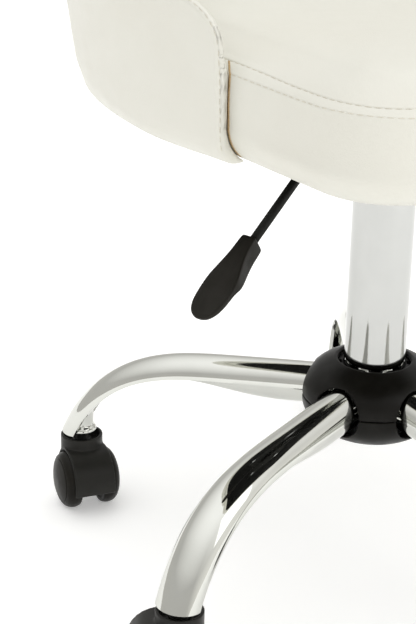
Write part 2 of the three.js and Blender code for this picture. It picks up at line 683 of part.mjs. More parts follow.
// Height of the top edge: a rounded arm corner, then a sweep up to the back.
function shellTop(share) {
  const end = Math.min(share, 1 - share);
  const corner = 1 - (1 - Math.min(1, end / ARM_CORNER_SHARE)) ** 2;
  const sweep = THREE.MathUtils.smoothstep(end, 0.01, 0.42);
  return ARM_CORNER + (ARM_TOP - ARM_CORNER) * Math.sqrt(corner) + (BACK_TOP - ARM_TOP) * sweep;
}

function shellBottom(share) {
  const end = Math.min(share, 1 - share);
  return SHELL_BOTTOM + SHELL_CORNER_LIFT * (1 - THREE.MathUtils.smoothstep(end, 0, 2 * FRONT_RUN));
}

function shellLean(z, share) {
  const end = Math.min(share, 1 - share);
  const lean = SHELL_LEAN * THREE.MathUtils.lerp(0.35, 1, THREE.MathUtils.smoothstep(end, 0, 0.15));
  return lean * Math.max(0, z - SHELL_LEAN_FROM);
}

// The shell's section at a share of the outline, from its rolled-in lip up to the top edge:
// [inset, height, slope of the wall], with the slope 0 where the wall stands upright.
function shellSection(share) {
  const bottom = shellBottom(share);
  const section = [];
  for (let i = 0; i < CURL_STEPS; i += 1) {
    const slope = radians(CURL_TURN * (1 - i / CURL_STEPS));
    section.push([SHELL_CURL * (1 - Math.cos(slope)), bottom + SHELL_CURL * (1 - Math.sin(slope)), slope]);
  }
  for (let i = 0; i <= UPRIGHT_STEPS; i += 1) {
    const z = THREE.MathUtils.lerp(bottom + SHELL_CURL, shellTop(share), i / UPRIGHT_STEPS);
    section.push([0, z, 0]);
  }
  return section;
}

// A loft along the outline, from arm to arm, of rings of [inset, height] points.
function alongTub(ringAt, firstRing) {
  const rings = [];
  for (let i = firstRing; i < SHELL_RINGS - firstRing; i += 1) {
    const even = i / (SHELL_RINGS - 1);
    const share = even - 0.12 * Math.sin(2 * Math.PI * even);
    rings.push(ringAt(share).map(([inset, z]) => [...shellPlan(share, inset - shellLean(z, share)), z]));
  }
  return loft(rings);
}

// The shell's ring, its outer face pushed out and its inner face pushed in by the given amounts.
function shellRing(share, push, pull) {
  const face = (depth) => shellSection(share).map(([inset, z, slope]) => {
    const thin = depth * THREE.MathUtils.lerp(1, LIP_WALL / SHELL_WALL, slope / radians(CURL_TURN));
    return [inset + thin * Math.cos(slope), z + thin * Math.sin(slope)];
  });
  return [...face(-push), ...face(SHELL_WALL + pull).reverse()];
}

// The padding lines the shell's inner face above the seat, behind the arms' thin front edges.
function backPad() {
  const padRing = (share) => {
    const heights = [SEAT_CROWN + PAD_ABOVE_SEAT, shellTop(share) - 1];
    const levels = [0, 1 / 3, 2 / 3, 1].map((t) => THREE.MathUtils.lerp(...heights, t));
    const outer = levels.map((z) => [SHELL_WALL / 2, z]);
    return [...outer, ...levels.reverse().map((z) => [SHELL_WALL + SHELL_PAD, z])];
  };
  const shellAndGap = alongTub((share) => shellRing(share, SHELL_WALL, GAP), 0);
  return alongTub(padRing, PAD_FIRST_RING).subtract(shellAndGap);
}

add("back_shell", alongTub((share) => shellRing(share, 0, 0), 0), leather);
add("back_pad", backPad(), leather);

export default assembly;
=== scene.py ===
"""Looks of the swivel tub stool: leather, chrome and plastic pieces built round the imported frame."""

import json
import math

import bmesh
import bpy
import numpy as np
from mathutils import Matrix, Vector
from mathutils.bvhtree import BVHTree


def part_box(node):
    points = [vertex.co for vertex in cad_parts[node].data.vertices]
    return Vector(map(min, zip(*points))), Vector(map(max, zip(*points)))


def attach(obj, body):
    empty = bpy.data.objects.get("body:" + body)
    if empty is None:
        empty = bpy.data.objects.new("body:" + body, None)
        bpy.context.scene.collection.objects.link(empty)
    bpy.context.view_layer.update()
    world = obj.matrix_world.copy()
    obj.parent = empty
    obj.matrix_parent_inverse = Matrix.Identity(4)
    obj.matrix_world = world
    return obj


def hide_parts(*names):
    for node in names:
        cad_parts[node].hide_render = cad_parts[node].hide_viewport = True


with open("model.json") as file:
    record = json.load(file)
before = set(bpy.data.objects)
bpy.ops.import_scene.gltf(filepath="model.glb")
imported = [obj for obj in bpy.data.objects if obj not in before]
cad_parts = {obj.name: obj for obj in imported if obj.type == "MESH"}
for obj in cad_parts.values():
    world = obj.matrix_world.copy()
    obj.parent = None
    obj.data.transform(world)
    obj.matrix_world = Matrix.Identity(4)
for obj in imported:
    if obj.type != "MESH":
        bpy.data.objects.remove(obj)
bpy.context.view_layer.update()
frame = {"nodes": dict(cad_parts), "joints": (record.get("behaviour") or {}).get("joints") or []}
MM = 0.001
LEGS = range(1, 6)


# ---- materials ----
def spread(nodes, links, value, low, high, out_low=0.0, out_high=1.0):
    """A Map Range node on a value, as its output socket."""
    node = nodes.new("ShaderNodeMapRange")
    limits = {"From Min": low, "From Max": high, "To Min": out_low, "To Max": out_high}
    for socket, number in limits.items():
        node.inputs[socket].default_value = number
    links.new(value, node.inputs["Value"])
    return node.outputs["Result"]


class Shade:
    """A Principled material with procedural detail on object coordinates."""

    def __init__(self, name, base, roughness, metallic=0.0, **sockets):
        self.material = bpy.data.materials.new(name)
        self.material.use_nodes = True
        self.nodes = self.material.node_tree.nodes
        self.links = self.material.node_tree.links
        self.shader = self.nodes["Principled BSDF"]
        self.shader.inputs["Base Color"].default_value = (*base, 1)
        self.shader.inputs["Roughness"].default_value = roughness
        self.shader.inputs["Metallic"].default_value = metallic
        for socket, value in sockets.items():
            self.shader.inputs[socket.replace("_", " ")].default_value = value
        self.place = self.nodes.new("ShaderNodeTexCoord").outputs["Object"]
        self.normal = None

    def stretched(self, scale):
        mapping = self.nodes.new("ShaderNodeMapping")
        mapping.inputs["Scale"].default_value = scale
        self.links.new(self.place, mapping.inputs["Vector"])
        return mapping.outputs["Vector"]

    def noise(self, scale, detail=4.0, distortion=0.0, place=None):
        node = self.nodes.new("ShaderNodeTexNoise")
        node.inputs["Scale"].default_value = scale
        node.inputs["Detail"].default_value = detail
        node.inputs["Distortion"].default_value = distortion
        self.links.new(place or self.place, node.inputs["Vector"])
        return node.outputs["Fac"]

    def cells(self, scale):
        node = self.nodes.new("ShaderNodeTexVoronoi")
        node.feature = "DISTANCE_TO_EDGE"
        node.inputs["Scale"].default_value = scale
        self.links.new(self.place, node.inputs["Vector"])
        return node.outputs["Distance"]

    def spread(self, value, *limits):
        return spread(self.nodes, self.links, value, *limits)

    def tint(self, value, first, second):
        node = self.nodes.new("ShaderNodeValToRGB")
        node.color_ramp.elements[0].color = (*first, 1)
        node.color_ramp.elements[1].color = (*second, 1)
        self.links.new(value, node.inputs["Fac"])
        self.links.new(node.outputs["Color"], self.shader.inputs["Base Color"])

    def rough(self, value):
        self.links.new(value, self.shader.inputs["Roughness"])

    def bump(self, height, distance, strength=1.0):
        node = self.nodes.new("ShaderNodeBump")
        node.inputs["Distance"].default_value = distance
        node.inputs["Strength"].default_value = strength
        self.links.new(height, node.inputs["Height"])
        if self.normal:
            self.links.new(self.normal, node.inputs["Normal"])
        self.normal = node.outputs["Normal"]
        self.links.new(self.normal, self.shader.inputs["Normal"])


def leather_material(name, light, dark):
    """Soft blotches of colour, wide waves, a fine cell grain and pores."""
    shade = Shade(name, light, 0.46, Specular_IOR_Level=0.42)
    shade.tint(shade.spread(shade.noise(5, 5, 0.6), 0.35, 0.65), dark, light)
    shade.rough(shade.spread(shade.noise(60, 6), 0.3, 0.7, 0.4, 0.56))
    shade.bump(shade.noise(26, 4, 0.8), 0.0006, 0.5)
    shade.bump(shade.spread(shade.cells(620), 0.0, 0.25), 0.00006, 0.7)
    shade.bump(shade.noise(1700, 3), 0.00003, 0.6)
    return shade.material


def chrome_material(name, low, high):
    """A mirror finish with faint smudges."""
    shade = Shade(name, high, 0.05, 1.0)
    smudges = shade.noise(34, 7, 0.4)
    shade.tint(shade.spread(smudges, 0.3, 0.7), low, high)
    shade.rough(shade.spread(smudges, 0.35, 0.75, 0.03, 0.1))
    shade.bump(shade.noise(120, 2), 0.00001, 0.5)
    return shade.material


def plastic_material(name, base, worn, low, high, shine, grain=0.00004):
    """Moulded plastic, worn lighter in patches, of a roughness from low to high."""
    shade = Shade(name, base, low, Specular_IOR_Level=shine)
    shade.tint(shade.spread(shade.noise(40, 6, 0.5), 0.45, 0.8), base, worn)
    shade.rough(shade.spread(shade.noise(90, 5), 0.3, 0.7, low, high))
    shade.bump(shade.noise(1500, 4), grain, 0.8)
    return shade.material


def steel_material(name, base, worn, low, high):
    """Steel with fine lines along Z: bare where its base is light, else coated."""
    shade = Shade(name, base, low, 1.0 if base[0] > 0.2 else 0.3, Specular_IOR_Level=0.2)
    lines = shade.noise(60, 6, 0, shade.stretched((12, 12, 0.6)))
    shade.tint(shade.spread(lines, 0.3, 0.7), base, worn)
    shade.rough(shade.spread(lines, 0.3, 0.7, low, high))
    shade.bump(lines, 0.00003, 0.6)
    return shade.material


def plywood_material():
    shade = Shade("sanded_plywood", (0.55, 0.38, 0.22), 0.6)
    rings = shade.noise(9, 6, 2.2, shade.stretched((1, 9, 1)))
    shade.tint(shade.spread(rings, 0.35, 0.65), (0.44, 0.29, 0.16), (0.66, 0.48, 0.3))
    shade.rough(shade.spread(rings, 0.3, 0.7, 0.5, 0.7))
    shade.bump(rings, 0.0003, 0.5)
    return shade.material


def fabric_material(name, base, weave_scale):
    shade = Shade(name, base, 0.85, Specular_IOR_Level=0.1)
    weave = shade.noise(weave_scale, 4)
    shade.tint(shade.spread(weave, 0.3, 0.7), tuple(c * 0.6 for c in base), base)
    shade.rough(shade.spread(weave, 0.3, 0.7, 0.8, 0.95))
    shade.bump(weave, 0.0002, 0.8)
    return shade.material


LEATHER = leather_material("white_leather", (0.718, 0.712, 0.65), (0.698, 0.686, 0.618))
THREAD = fabric_material("cream_thread", (0.8, 0.76, 0.65), 2600)
CHROME = chrome_material("polished_chrome", (0.6, 0.605, 0.57), (0.635, 0.64, 0.605))
# The legs' chrome again, painted darker for the column: painted shade where the upright tube looks dimmer.
SHADED_COLUMN_CHROME = chrome_material("shaded_column_chrome", (0.515, 0.52, 0.505), (0.54, 0.545, 0.53))
BLACK = plastic_material("black_plastic", (0.006, 0.0055, 0.0042), (0.011, 0.0105, 0.0085),
                         0.3, 0.44, 0.14)
HOOD = plastic_material("hood_plastic", (0.017, 0.0165, 0.0145), (0.024, 0.0232, 0.0205),
                        0.3, 0.44, 0.16)
GRIP = plastic_material("grip_plastic", (0.015, 0.0135, 0.0105), (0.021, 0.019, 0.0155),
                        0.45, 0.62, 0.14, 0.0001)
TYRE = plastic_material("wheel_plastic", (0.006, 0.005, 0.0032), (0.012, 0.0105, 0.0075),
                        0.3, 0.48, 0.14)
STEEL = steel_material("satin_steel", (0.5, 0.51, 0.52), (0.62, 0.63, 0.64), 0.25, 0.42)
BLACK_STEEL = steel_material("black_steel", (0.008, 0.008, 0.007), (0.018, 0.018, 0.016), 0.3, 0.5)
RUBBER = plastic_material("bumper_rubber", (0.02, 0.02, 0.02), (0.035, 0.035, 0.034), 0.7, 0.85, 0.3)
PLYWOOD = plywood_material()
LINING = fabric_material("black_lining", (0.009, 0.009, 0.0085), 900)
# Tan colour put in the crevice between the seat's side and the arm: painted shade, not a real lining.
TAN_GAP_SHADE = fabric_material("tan_painted_gap_shade", (0.62, 0.44, 0.24), 900)


# ---- mesh helpers ----
def make(name, verts, faces, look):
    """A smooth piece from points in metres, with doubled points joined and faces turned out."""
    mesh = bpy.data.meshes.new(name)
    mesh.from_pydata([tuple(v) for v in verts], [], faces)
    mesh.materials.append(look)
    build = bmesh.new()
    build.from_mesh(mesh)
    bmesh.ops.remove_doubles(build, verts=build.verts, dist=1e-7)
    bmesh.ops.recalc_face_normals(build, faces=build.faces)
    build.to_mesh(mesh)
    build.free()
    mesh.shade_smooth()
    piece = bpy.data.objects.new(name, mesh)
    bpy.context.scene.collection.objects.link(piece)
    return piece


def keep(piece, body, slot, *nodes):
    """Rides the piece on its body, in place of the CAD nodes it stands for."""
    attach(piece, body)
    if nodes:
        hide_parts(*nodes)
    return piece


def add_modifier(piece, kind, **settings):
    modifier = piece.modifiers.new(kind.lower(), kind)
    for key, value in settings.items():
        setattr(modifier, key, value)
    return modifier


def settled(piece):
    """Bakes the piece's modifiers into its mesh."""
    evaluated = piece.evaluated_get(bpy.context.evaluated_depsgraph_get())
    mesh = bpy.data.meshes.new_from_object(evaluated)
    piece.modifiers.clear()
    piece.data = mesh
    return piece


def discard(piece):
    bpy.data.objects.remove(piece)


def rounded(points, steps=4):
    """A closed [r, z, fillet] outline with each corner turned into an arc."""
    out = []
    count = len(points)
    for i, (x, y, fillet) in enumerate(points):
        here = Vector((x, y))
        before = Vector(points[i - 1][:2]) - here
        after = Vector(points[(i + 1) % count][:2]) - here
        reach = min(fillet, before.length * 0.45, after.length * 0.45)
        if reach < 1e-9:
            out.append((x, y))
            continue
        start = here + before.normalized() * reach
        end = here + after.normalized() * reach
        for k in range(steps + 1):
            t = k / steps
            point = start * (1 - t) ** 2 + here * 2 * t * (1 - t) + end * t * t
            out.append((point.x, point.y))
    return out


def lathe(name, outline, sides, look):
    """Round solid about Z from an [r, z] outline in millimetres that closes on itself."""
    verts, rows = [], []
    for r, z in outline:
        if r < 1e-6:
            rows.append([len(verts)] * sides)
            verts.append((0, 0, z * MM))
            continue
        rows.append(list(range(len(verts), len(verts) + sides)))
        for k in range(sides):
            angle = 2 * math.pi * k / sides
            verts.append((r * MM * math.cos(angle), r * MM * math.sin(angle), z * MM))
    faces = []
    for a, b in zip(rows, rows[1:] + rows[:1]):
        for k in range(sides):
            n = (k + 1) % sides
            corners = list(dict.fromkeys([a[k], a[n], b[n], b[k]]))
            if len(corners) > 2:
                faces.append(corners)
    return make(name, verts, faces, look)


def tube(name, outline, sides, look):
    return lathe(name, rounded(outline), sides, look)


def grid_faces(rows, columns, wrap_rows=False, wrap_columns=False):
    faces = []
    for i in range(rows if wrap_rows else rows - 1):
        for j in range(columns if wrap_columns else columns - 1):
            k, n = (i + 1) % rows, (j + 1) % columns
            faces.append([i * columns + j, i * columns + n, k * columns + n, k * columns + j])
    return faces


def loft(name, rings, look):
    """Closed surface through rings of points in millimetres."""
    size = len(rings[0])
    verts = [Vector(p) * MM for ring in rings for p in ring]
    faces = grid_faces(len(rings), size, wrap_columns=True)
    for start in (0, (len(rings) - 1) * size):
        middle = sum((verts[start + k] for k in range(size)), Vector()) / size
        verts.append(middle)
        faces += [[start + k, start + (k + 1) % size, len(verts) - 1] for k in range(size)]
    return make(name, verts, faces, look)


def cylinder(radius, low, high, sides=48):
    return lathe("cutter", [(0, low), (radius, low), (radius, high), (0, high)], sides, BLACK)


def cuboid(x0, x1, y0, y1, z0, z1):
    corners = [(x, y, z) for x in (x0, x1) for y in (y0, y1) for z in (z0, z1)]
    faces = [[0, 1, 3, 2], [4, 6, 7, 5], [0, 4, 5, 1], [2, 3, 7, 6], [0, 2, 6, 4], [1, 5, 7, 3]]
    return make("cutter", [Vector(c) * MM for c in corners], faces, BLACK)


def across(piece, x, z):
    """Lays a solid made about Z along Y, with its axis through x, z."""
    quarter = Matrix.Rotation(math.radians(-90), 4, "X")
    piece.data.transform(Matrix.Translation((x * MM, 0, z * MM)) @ quarter)
    return piece


def moulded(piece, steps, voxel, passes):
    """Adds and cuts solids, then softens every edge the way a moulding has them."""
    for operation, other in steps:
        add_modifier(piece, "BOOLEAN", operation=operation, object=other, solver="MANIFOLD")
        settled(piece)
        discard(other)
    add_modifier(piece, "REMESH", mode="VOXEL", voxel_size=voxel * MM, use_smooth_shade=True)
    add_modifier(piece, "SMOOTH", factor=0.5, iterations=passes)
    look = piece.data.materials[0]
    settled(piece)
    piece.data.materials.clear()
    piece.data.materials.append(look)
    piece.data.shade_smooth()
    return piece


# In metres: the stitches' pitch on the seat and on the back, a stitch's length, the thread's radius.
PITCH, BACK_PITCH, STITCH, THREAD_RADIUS = 0.0062, 0.0064, 0.0047, 0.00032
# Along a stitch: share of its length, then thickness and height off the cover in thread radii.
ALONG_STITCH = ((0.0, 0.35, -0.7), (0.2, 0.9, 0.1), (0.5, 1, 0.45), (0.8, 0.9, 0.1), (1.0, 0.35, -0.7))


def stitches(name, paths, pitch):
    """Rows of short thread stitches along paths of (point, outward normal) pairs."""
    verts, faces = [], []
    sides = 6
    last = (len(ALONG_STITCH) - 1) * sides
    for path in paths:
        points = [Vector(p) for p, _ in path]
        normals = [Vector(n) for _, n in path]
        run = [0.0]
        for a, b in zip(points, points[1:]):
            run.append(run[-1] + (b - a).length)

        def at(s):
            k = min(max(int(np.searchsorted(run, s)) - 1, 0), len(points) - 2)
            t = (s - run[k]) / max(run[k + 1] - run[k], 1e-9)
            return points[k].lerp(points[k + 1], t), normals[k].lerp(normals[k + 1], t).normalized()

        for i in range(int(run[-1] / pitch)):
            places = [at(i * pitch + STITCH * t) for t, _, _ in ALONG_STITCH]
            along = (places[-1][0] - places[0][0]).normalized()
            base = len(verts)
            for (point, normal), (_, swell, rise) in zip(places, ALONG_STITCH):
                side = along.cross(normal).normalized()
                for k in range(sides):
                    angle = 2 * math.pi * k / sides
                    offset = side * math.cos(angle) + normal * (math.sin(angle) + rise)
                    verts.append(point + offset * THREAD_RADIUS * swell)
            skin = grid_faces(len(ALONG_STITCH), sides, wrap_columns=True)
            faces += [[base + f for f in face] for face in skin]
            faces.append([base + k for k in range(sides)])
            faces.append([base + last + k for k in range(sides)])
    return make(name, verts, faces, THREAD)


# ---- legs ----
# (distance from the column, height) along the leg's upper edge.
LEG_CROWN = [(20, 164), (56, 162.2), (105, 158.3), (149, 154.2), (176, 149.8), (200, 142.6),
             (222, 131.6), (242, 116), (258, 97), (268, 80.5), (276, 63), (280, 52)]
LEG_TUBE, LEG_HALF, LEG_DEPTH, LEG_WALL, LEG_END = 17.4, 19.0, 15.0, 3.0, 66.0
STEM_RADIUS, LEG_RINGS = 258.0, 64


def smoothstep(x, low, high):
    t = min(max((x - low) / (high - low), 0), 1)
    return t * t * (3 - 2 * t)


def mix(a, b, t):
    return a + (b - a) * t


def through(points, count):
    """Evenly spaced points on a smooth curve through the given ones."""
    p = [Vector(q) for q in points]
    p = [2 * p[0] - p[1], *p, 2 * p[-1] - p[-2]]
    fine = []
    for a, b, c, d in zip(p, p[1:], p[2:], p[3:]):
        for k in range(24):
            t = k / 24
            fine.append(0.5 * (2 * b + (c - a) * t + (2 * a - 5 * b + 4 * c - d) * t * t
                               + (3 * b - a - 3 * c + d) * t ** 3))
    fine.append(p[-2])
    run = np.concatenate([[0], np.cumsum([(b - a).length for a, b in zip(fine, fine[1:])])])
    at = np.linspace(0, run[-1], count)
    flat = np.array([tuple(v) for v in fine])
    return np.stack([np.interp(at, run, flat[:, k]) for k in range(flat.shape[1])], 1)


def leg_form(name, grow, wall):
    """A leg along +X: a tube at the hub, pressed into an open channel towards its end."""
    crown = through(LEG_CROWN, LEG_RINGS)
    tangent = np.gradient(crown, axis=0)
    tangent /= np.linalg.norm(tangent, axis=1)[:, None]
    arc = 22
    rings = []
    for i, ((r, z), (tr, tz)) in enumerate(zip(crown, tangent)):
        press = smoothstep(i / (LEG_RINGS - 1), 0.18, 0.75)
        half, depth = mix(LEG_TUBE, LEG_HALF, press), mix(LEG_TUBE, LEG_DEPTH, press)
        under = mix(-LEG_TUBE + 0.4, depth - wall, press)
        inner = half - wall * press - 0.25
        ring = []
        for j in range(arc + 1):
            angle = math.pi * j / arc
            below = depth - (depth + grow) * math.sin(angle)
            ring.append((r + tz * below, (half + grow) * math.cos(angle), z - tr * below))
        for j in range(arc + 1):
            angle = math.pi - math.pi * j / arc
            rim = 0.7 if j in (0, arc) else 0
            below = depth + rim - under * math.sin(angle)
            ring.append((r + tz * below, inner * math.cos(angle), z - tr * below))
        rings.append(ring)
    return loft(name, rings, CHROME)


def leg_piece():
    """The leg with its end cut level and every edge softened."""
    leg = leg_form("leg", 0.0, LEG_WALL)
    build = bmesh.new()
    build.from_mesh(leg.data)
    everything = build.verts[:] + build.edges[:] + build.faces[:]
    cut = bmesh.ops.bisect_plane(build, geom=everything, dist=1e-6, plane_co=(0, 0, LEG_END * MM),
                                 plane_no=(0, 0, -1), clear_outer=True)
    edges = [e for e in cut["geom_cut"] if isinstance(e, bmesh.types.BMEdge)]
    bmesh.ops.holes_fill(build, edges=edges)
    bmesh.ops.recalc_face_normals(build, faces=build.faces)
    build.to_mesh(leg.data)
    build.free()
    leg.data.shade_smooth()
    add_modifier(leg, "BEVEL", width=0.7 * MM, segments=3, limit_method="ANGLE",
                 angle_limit=math.radians(50))
    add_modifier(leg, "WEIGHTED_NORMAL", keep_sharp=True)
    return settled(leg)


def socket_piece():
    """The tube that grips the caster stem, its top cut to the leg's inside, with a flared foot."""
    outline = [(5.9, 66.2, 0.4), (13.2, 66.2, 1.2), (12.6, 69.4, 1.2), (10.4, 72, 1.5), (10.4, 112, 0),
               (5.9, 112, 0)]
    socket = tube("socket", outline, 64, CHROME)
    leg = leg_form("cutter", 30.0, LEG_WALL + 0.3)
    leg.data.transform(Matrix.Translation((-STEM_RADIUS * MM, 0, 0)))
    add_modifier(socket, "BOOLEAN", operation="DIFFERENCE", object=leg, solver="MANIFOLD")
    settled(socket)
    discard(leg)
    socket.data.set_sharp_from_angle(angle=math.radians(35))
    return socket


def turn_about(angle, x=0.0, y=0.0):
    return Matrix.Translation((x, y, 0)) @ Matrix.Rotation(angle, 4, "Z")


def copy_at(source, name, matrix):
    piece = bpy.data.objects.new(name, source.data)
    bpy.context.scene.collection.objects.link(piece)
    piece.matrix_world = matrix
    return piece


def joint(name):
    return next(j for j in frame["joints"] if j["name"] == name)


def caster_place(k):
    """Stem position and trailing direction of caster k, from its joints."""
    stem = Vector(joint(f"caster_swivel_{k}")["pos_m"])
    axle = joint(f"wheel_spin_left_{k}")["axis"]
    return stem, math.atan2(-axle[0], axle[1])


def build_legs():
    leg = leg_piece()
    socket = socket_piece()
    for k in LEGS:
        stem, _ = caster_place(k)
        angle = math.atan2(stem.y, stem.x)
        keep(copy_at(leg, f"chrome_leg_{k}", turn_about(angle)), "base", "chrome", f"leg_{k}")
        at_stem = turn_about(angle, stem.x, stem.y)
        keep(copy_at(socket, f"stem_socket_{k}", at_stem), "base", "chrome", f"caster_socket_{k}")
    discard(leg)
    discard(socket)


# ---- casters, made with the stem on Z and the wheels trailing along +X ----
TRAIL, WHEEL, WEB_HALF = 13.0, 25.0, 9.4


def caster_hood():
    """A rounded web between the wheels, arched over them, with an open cup round the stem."""
    hood = across(cylinder(27.8, -18, 18, 96), TRAIL, WHEEL)
    hood.data.materials[0] = HOOD
    steps = [
        ("UNION", cylinder(18.3, 38, 62)),
        ("DIFFERENCE", across(cylinder(26, WEB_HALF, 40, 96), TRAIL, WHEEL)),
        ("DIFFERENCE", across(cylinder(26, -40, -WEB_HALF, 96), TRAIL, WHEEL)),
        ("DIFFERENCE", cuboid(-60, TRAIL - 4, -30, 30, -10, 34)),
        ("DIFFERENCE", cuboid(TRAIL - 10, 80, -30, 30, -10, 19)),
        ("UNION", across(cylinder(12.5, -WEB_HALF, WEB_HALF), TRAIL, WHEEL)),
        ("DIFFERENCE", cylinder(15.8, 54.4, 70)),
        ("DIFFERENCE", cylinder(5.9, 30, 60)),
        ("DIFFERENCE", across(cylinder(3.4, -40, 40), TRAIL, WHEEL)),
    ]
    return moulded(hood, steps, 0.75, 4)


def caster_wheel(side):
    """A domed wheel with a crowned tread, a parting step and a hub cap ring."""
    inner, face = 10.0, 23.4
    outline = [
        (3.4, inner, 0.3), (8, inner, 0.5), (8, inner + 1.4, 0.5), (20.5, inner + 1.4, 0.5),
        (20.5, inner, 0.5), (23.8, inner, 2.6), (25, inner + 3.8, 2.0), (25, face - 6.4, 2.5),
        (24.0, face - 3.2, 1.8), (22.2, face - 0.8, 1.8), (20.4, face + 0.4, 0.3),
        (20.1, face + 0.1, 0.2), (19.6, face + 0.2, 0.2), (19.3, face + 1.1, 0.4),
        (14, face + 3.0, 3.0), (7.5, face + 4.2, 2.0), (0, face + 4.5, 0), (0, face, 0), (3.4, face, 0.3),
    ]
    wheel = tube("wheel", outline, 96, TYRE)
    wheel.data.transform(Matrix.Rotation(math.radians(-90 * side), 4, "X"))
    return wheel


def build_casters():
    hood, left, right = caster_hood(), caster_wheel(1), caster_wheel(-1)
    stem = tube("stem", [(0, 40, 0), (5.5, 40, 0.5), (5.5, 54.4, 0), (8.4, 54.5, 0.4), (8.4, 57.2, 0.6),
                         (5.5, 57.4, 0), (5.5, 75, 0), (3.5, 78, 0.6), (0, 78, 0)], 40, BLACK_STEEL)
    pin = tube("axle", [(0, -23, 0), (3, -23, 0.4), (3, 23, 0.4), (0, 23, 0)], 24, STEEL)
    axle = across(pin, TRAIL, WHEEL)
    for k in LEGS:
        place, yaw = caster_place(k)
        here = turn_about(yaw, place.x, place.y)
        hub = here @ Matrix.Translation((TRAIL * MM, 0, WHEEL * MM))
        keep(copy_at(stem, f"stem_{k}", here), "base", "steel", f"caster_stem_{k}")
        keep(copy_at(hood, f"hood_{k}", here), f"caster_{k}", "black_plastic", f"caster_hood_{k}")
        keep(copy_at(axle, f"axle_{k}", here), f"caster_{k}", "steel", f"caster_axle_{k}")
        for side, wheel in (("left", left), ("right", right)):
            name = f"wheel_{side}_{k}"
            keep(copy_at(wheel, f"tyre_{side}_{k}", hub), name, "wheel_plastic", name)
    for piece in (hood, left, right, stem, axle):
        discard(piece)


# ---- hub ----
COVER_R, COVER_Z, COVER_H, COVER_WALL = 58.0, 144.0, 37.0, 3.0


def cover_arc(shrink, low, high, steps=18):
    arc = []
    for k in range(steps + 1):
        z = low + (high - low) * k / steps
        lift = abs(z - COVER_Z) / (COVER_H - shrink)
        arc.append(((COVER_R - shrink) * max(0, 1 - lift ** 2.4) ** 0.5, z))
    return arc


def leg_tunnels():
    """Cuts where the five legs come out of the cover."""
    cuts = []
    for k in LEGS:
        place, _ = caster_place(k)
        tunnel = cylinder(LEG_TUBE + 3.0, 38, 90, 64)
        turn = turn_about(math.atan2(place.y, place.x)) @ Matrix.Translation((0, 0, COVER_Z * MM))
        tunnel.data.transform(turn @ Matrix.Rotation(math.radians(90), 4, "Y"))
        cuts.append(("DIFFERENCE", tunnel))
    return cuts


def build_hub():
    parting, foot, neck = COVER_Z + 0.25, 109, 176
    upper = [*cover_arc(0, parting, neck), (29.6, 174.8), (29.6, 172), *cover_arc(COVER_WALL, 172, parting)]
    parting = COVER_Z - 0.35
    lower = [(0, foot), *cover_arc(0, foot, parting), *cover_arc(COVER_WALL, parting, 112), (0, 112)]
    for name, outline in (("upper", upper), ("lower", lower)):
        cover = lathe(f"hub_shell_{name}", outline, 120, BLACK)
        keep(moulded(cover, leg_tunnels(), 0.8, 3), "base", "black_plastic", f"hub_cover_{name}")
    outline = [(25.4, 164.4, 0.3), (29.2, 164.4, 0.3), (29.2, 171.8, 0.8), (25.4, 171.8, 0.5)]
    band = tube("collar_band", outline, 96, BLACK)
    slots = []
    for i in range(10):
        slot = cuboid(26.4, 40, -3, 3, 168.5, 182)
        slot.data.transform(Matrix.Rotation(2 * math.pi * i / 10, 4, "Z"))
        slots.append(("DIFFERENCE", slot))
    keep(moulded(band, slots, 0.4, 2), "base", "black_plastic", "hub_collar_ring")
    outline = [(25.4, 117, 0.5), (30, 117, 0.8), (30, 164, 0.8), (25.4, 164, 0.5)]
    keep(tube("sleeve", outline, 64, STEEL), "base", "steel", "hub_sleeve")


# ---- gas lift ----
def build_lift():
    outline = [(6, 116, 0.5), (25, 116, 1), (25, 340, 0.9), (23.2, 340, 0.8), (23.2, 120, 0.5),
               (6, 120, 0.5)]
    # The column gets the legs' chrome painted darker, as painted shade.
    keep(tube("column", outline, 128, SHADED_COLUMN_CHROME), "base", "chrome", "column_tube")
    outline = [(14.35, 270, 0.4), (22.9, 270, 0.6), (22.9, 340.4, 0), (24.6, 340.4, 0.3), (24.6, 343, 0.9),
               (14.35, 343, 0.7)]
    keep(tube("bush", outline, 96, BLACK), "base", "black_plastic", "guide_bush")
    outline = [(0, 348, 0), (11.5, 346, 0.4), (11.5, 142, 0.4), (14, 142, 0.6), (14, 352, 0.6),
               (13.1, 379.6, 0.5), (4.4, 379.6, 0.3), (4.4, 354.8, 0), (0, 354.8, 0)]
    keep(tube("gas_tube", outline, 96, BLACK_STEEL), "seat", "black_steel", "gas_cylinder")
    outline = [(0, 360, 0), (4, 360, 0.4), (4, 384, 0.8), (0, 384, 0)]
    keep(tube("button", outline, 32, STEEL), "button", "steel", "release_button")


# ---- lever ----
ROD_Z, PADDLE_FROM, PADDLE_LONG, SLOPE = 388, 172.0, 73.0, math.radians(34)
BEND_FROM, BEND, BEND_TO, ROD_END, PIN_PLACE = 64, 74, 84, 196, 36
# Share of the paddle's length, half width, thickness above and below its middle.
PADDLE = [(0, 5.2, 7.0, 7.6), (0.01, 6.2, 7.6, 8.2), (0.12, 6.4, 7.5, 8.2), (0.24, 7.4, 6.8, 8.0),
          (0.36, 9.6, 5.8, 7.6), (0.46, 11.8, 4.8, 7.0), (0.53, 12.9, 4.2, 5.6), (0.58, 13.3, 3.8, 3.6),
          (0.64, 13.5, 3.4, 2.4), (0.76, 13.4, 3.0, 2.1), (0.86, 12.2, 2.7, 2.0), (0.93, 9.9, 2.3, 1.8),
          (0.97, 7.3, 1.9, 1.6), (0.992, 4.2, 1.4, 1.2), (1.0, 1.6, 0.7, 0.6)]


def sweep(name, path, radius, sides, look):
    """A round bar along a path of points in the XZ plane."""
    rings = []
    for i, point in enumerate(path):
        ahead = (path[min(i + 1, len(path) - 1)] - path[max(i - 1, 0)]).normalized()
        side = Vector((0, 1, 0))
        up = ahead.cross(side)
        rings.append([point + radius * (side * math.cos(a) + up * math.sin(a))
                      for a in (2 * math.pi * k / sides for k in range(sides))])
    return loft(name, rings, look)


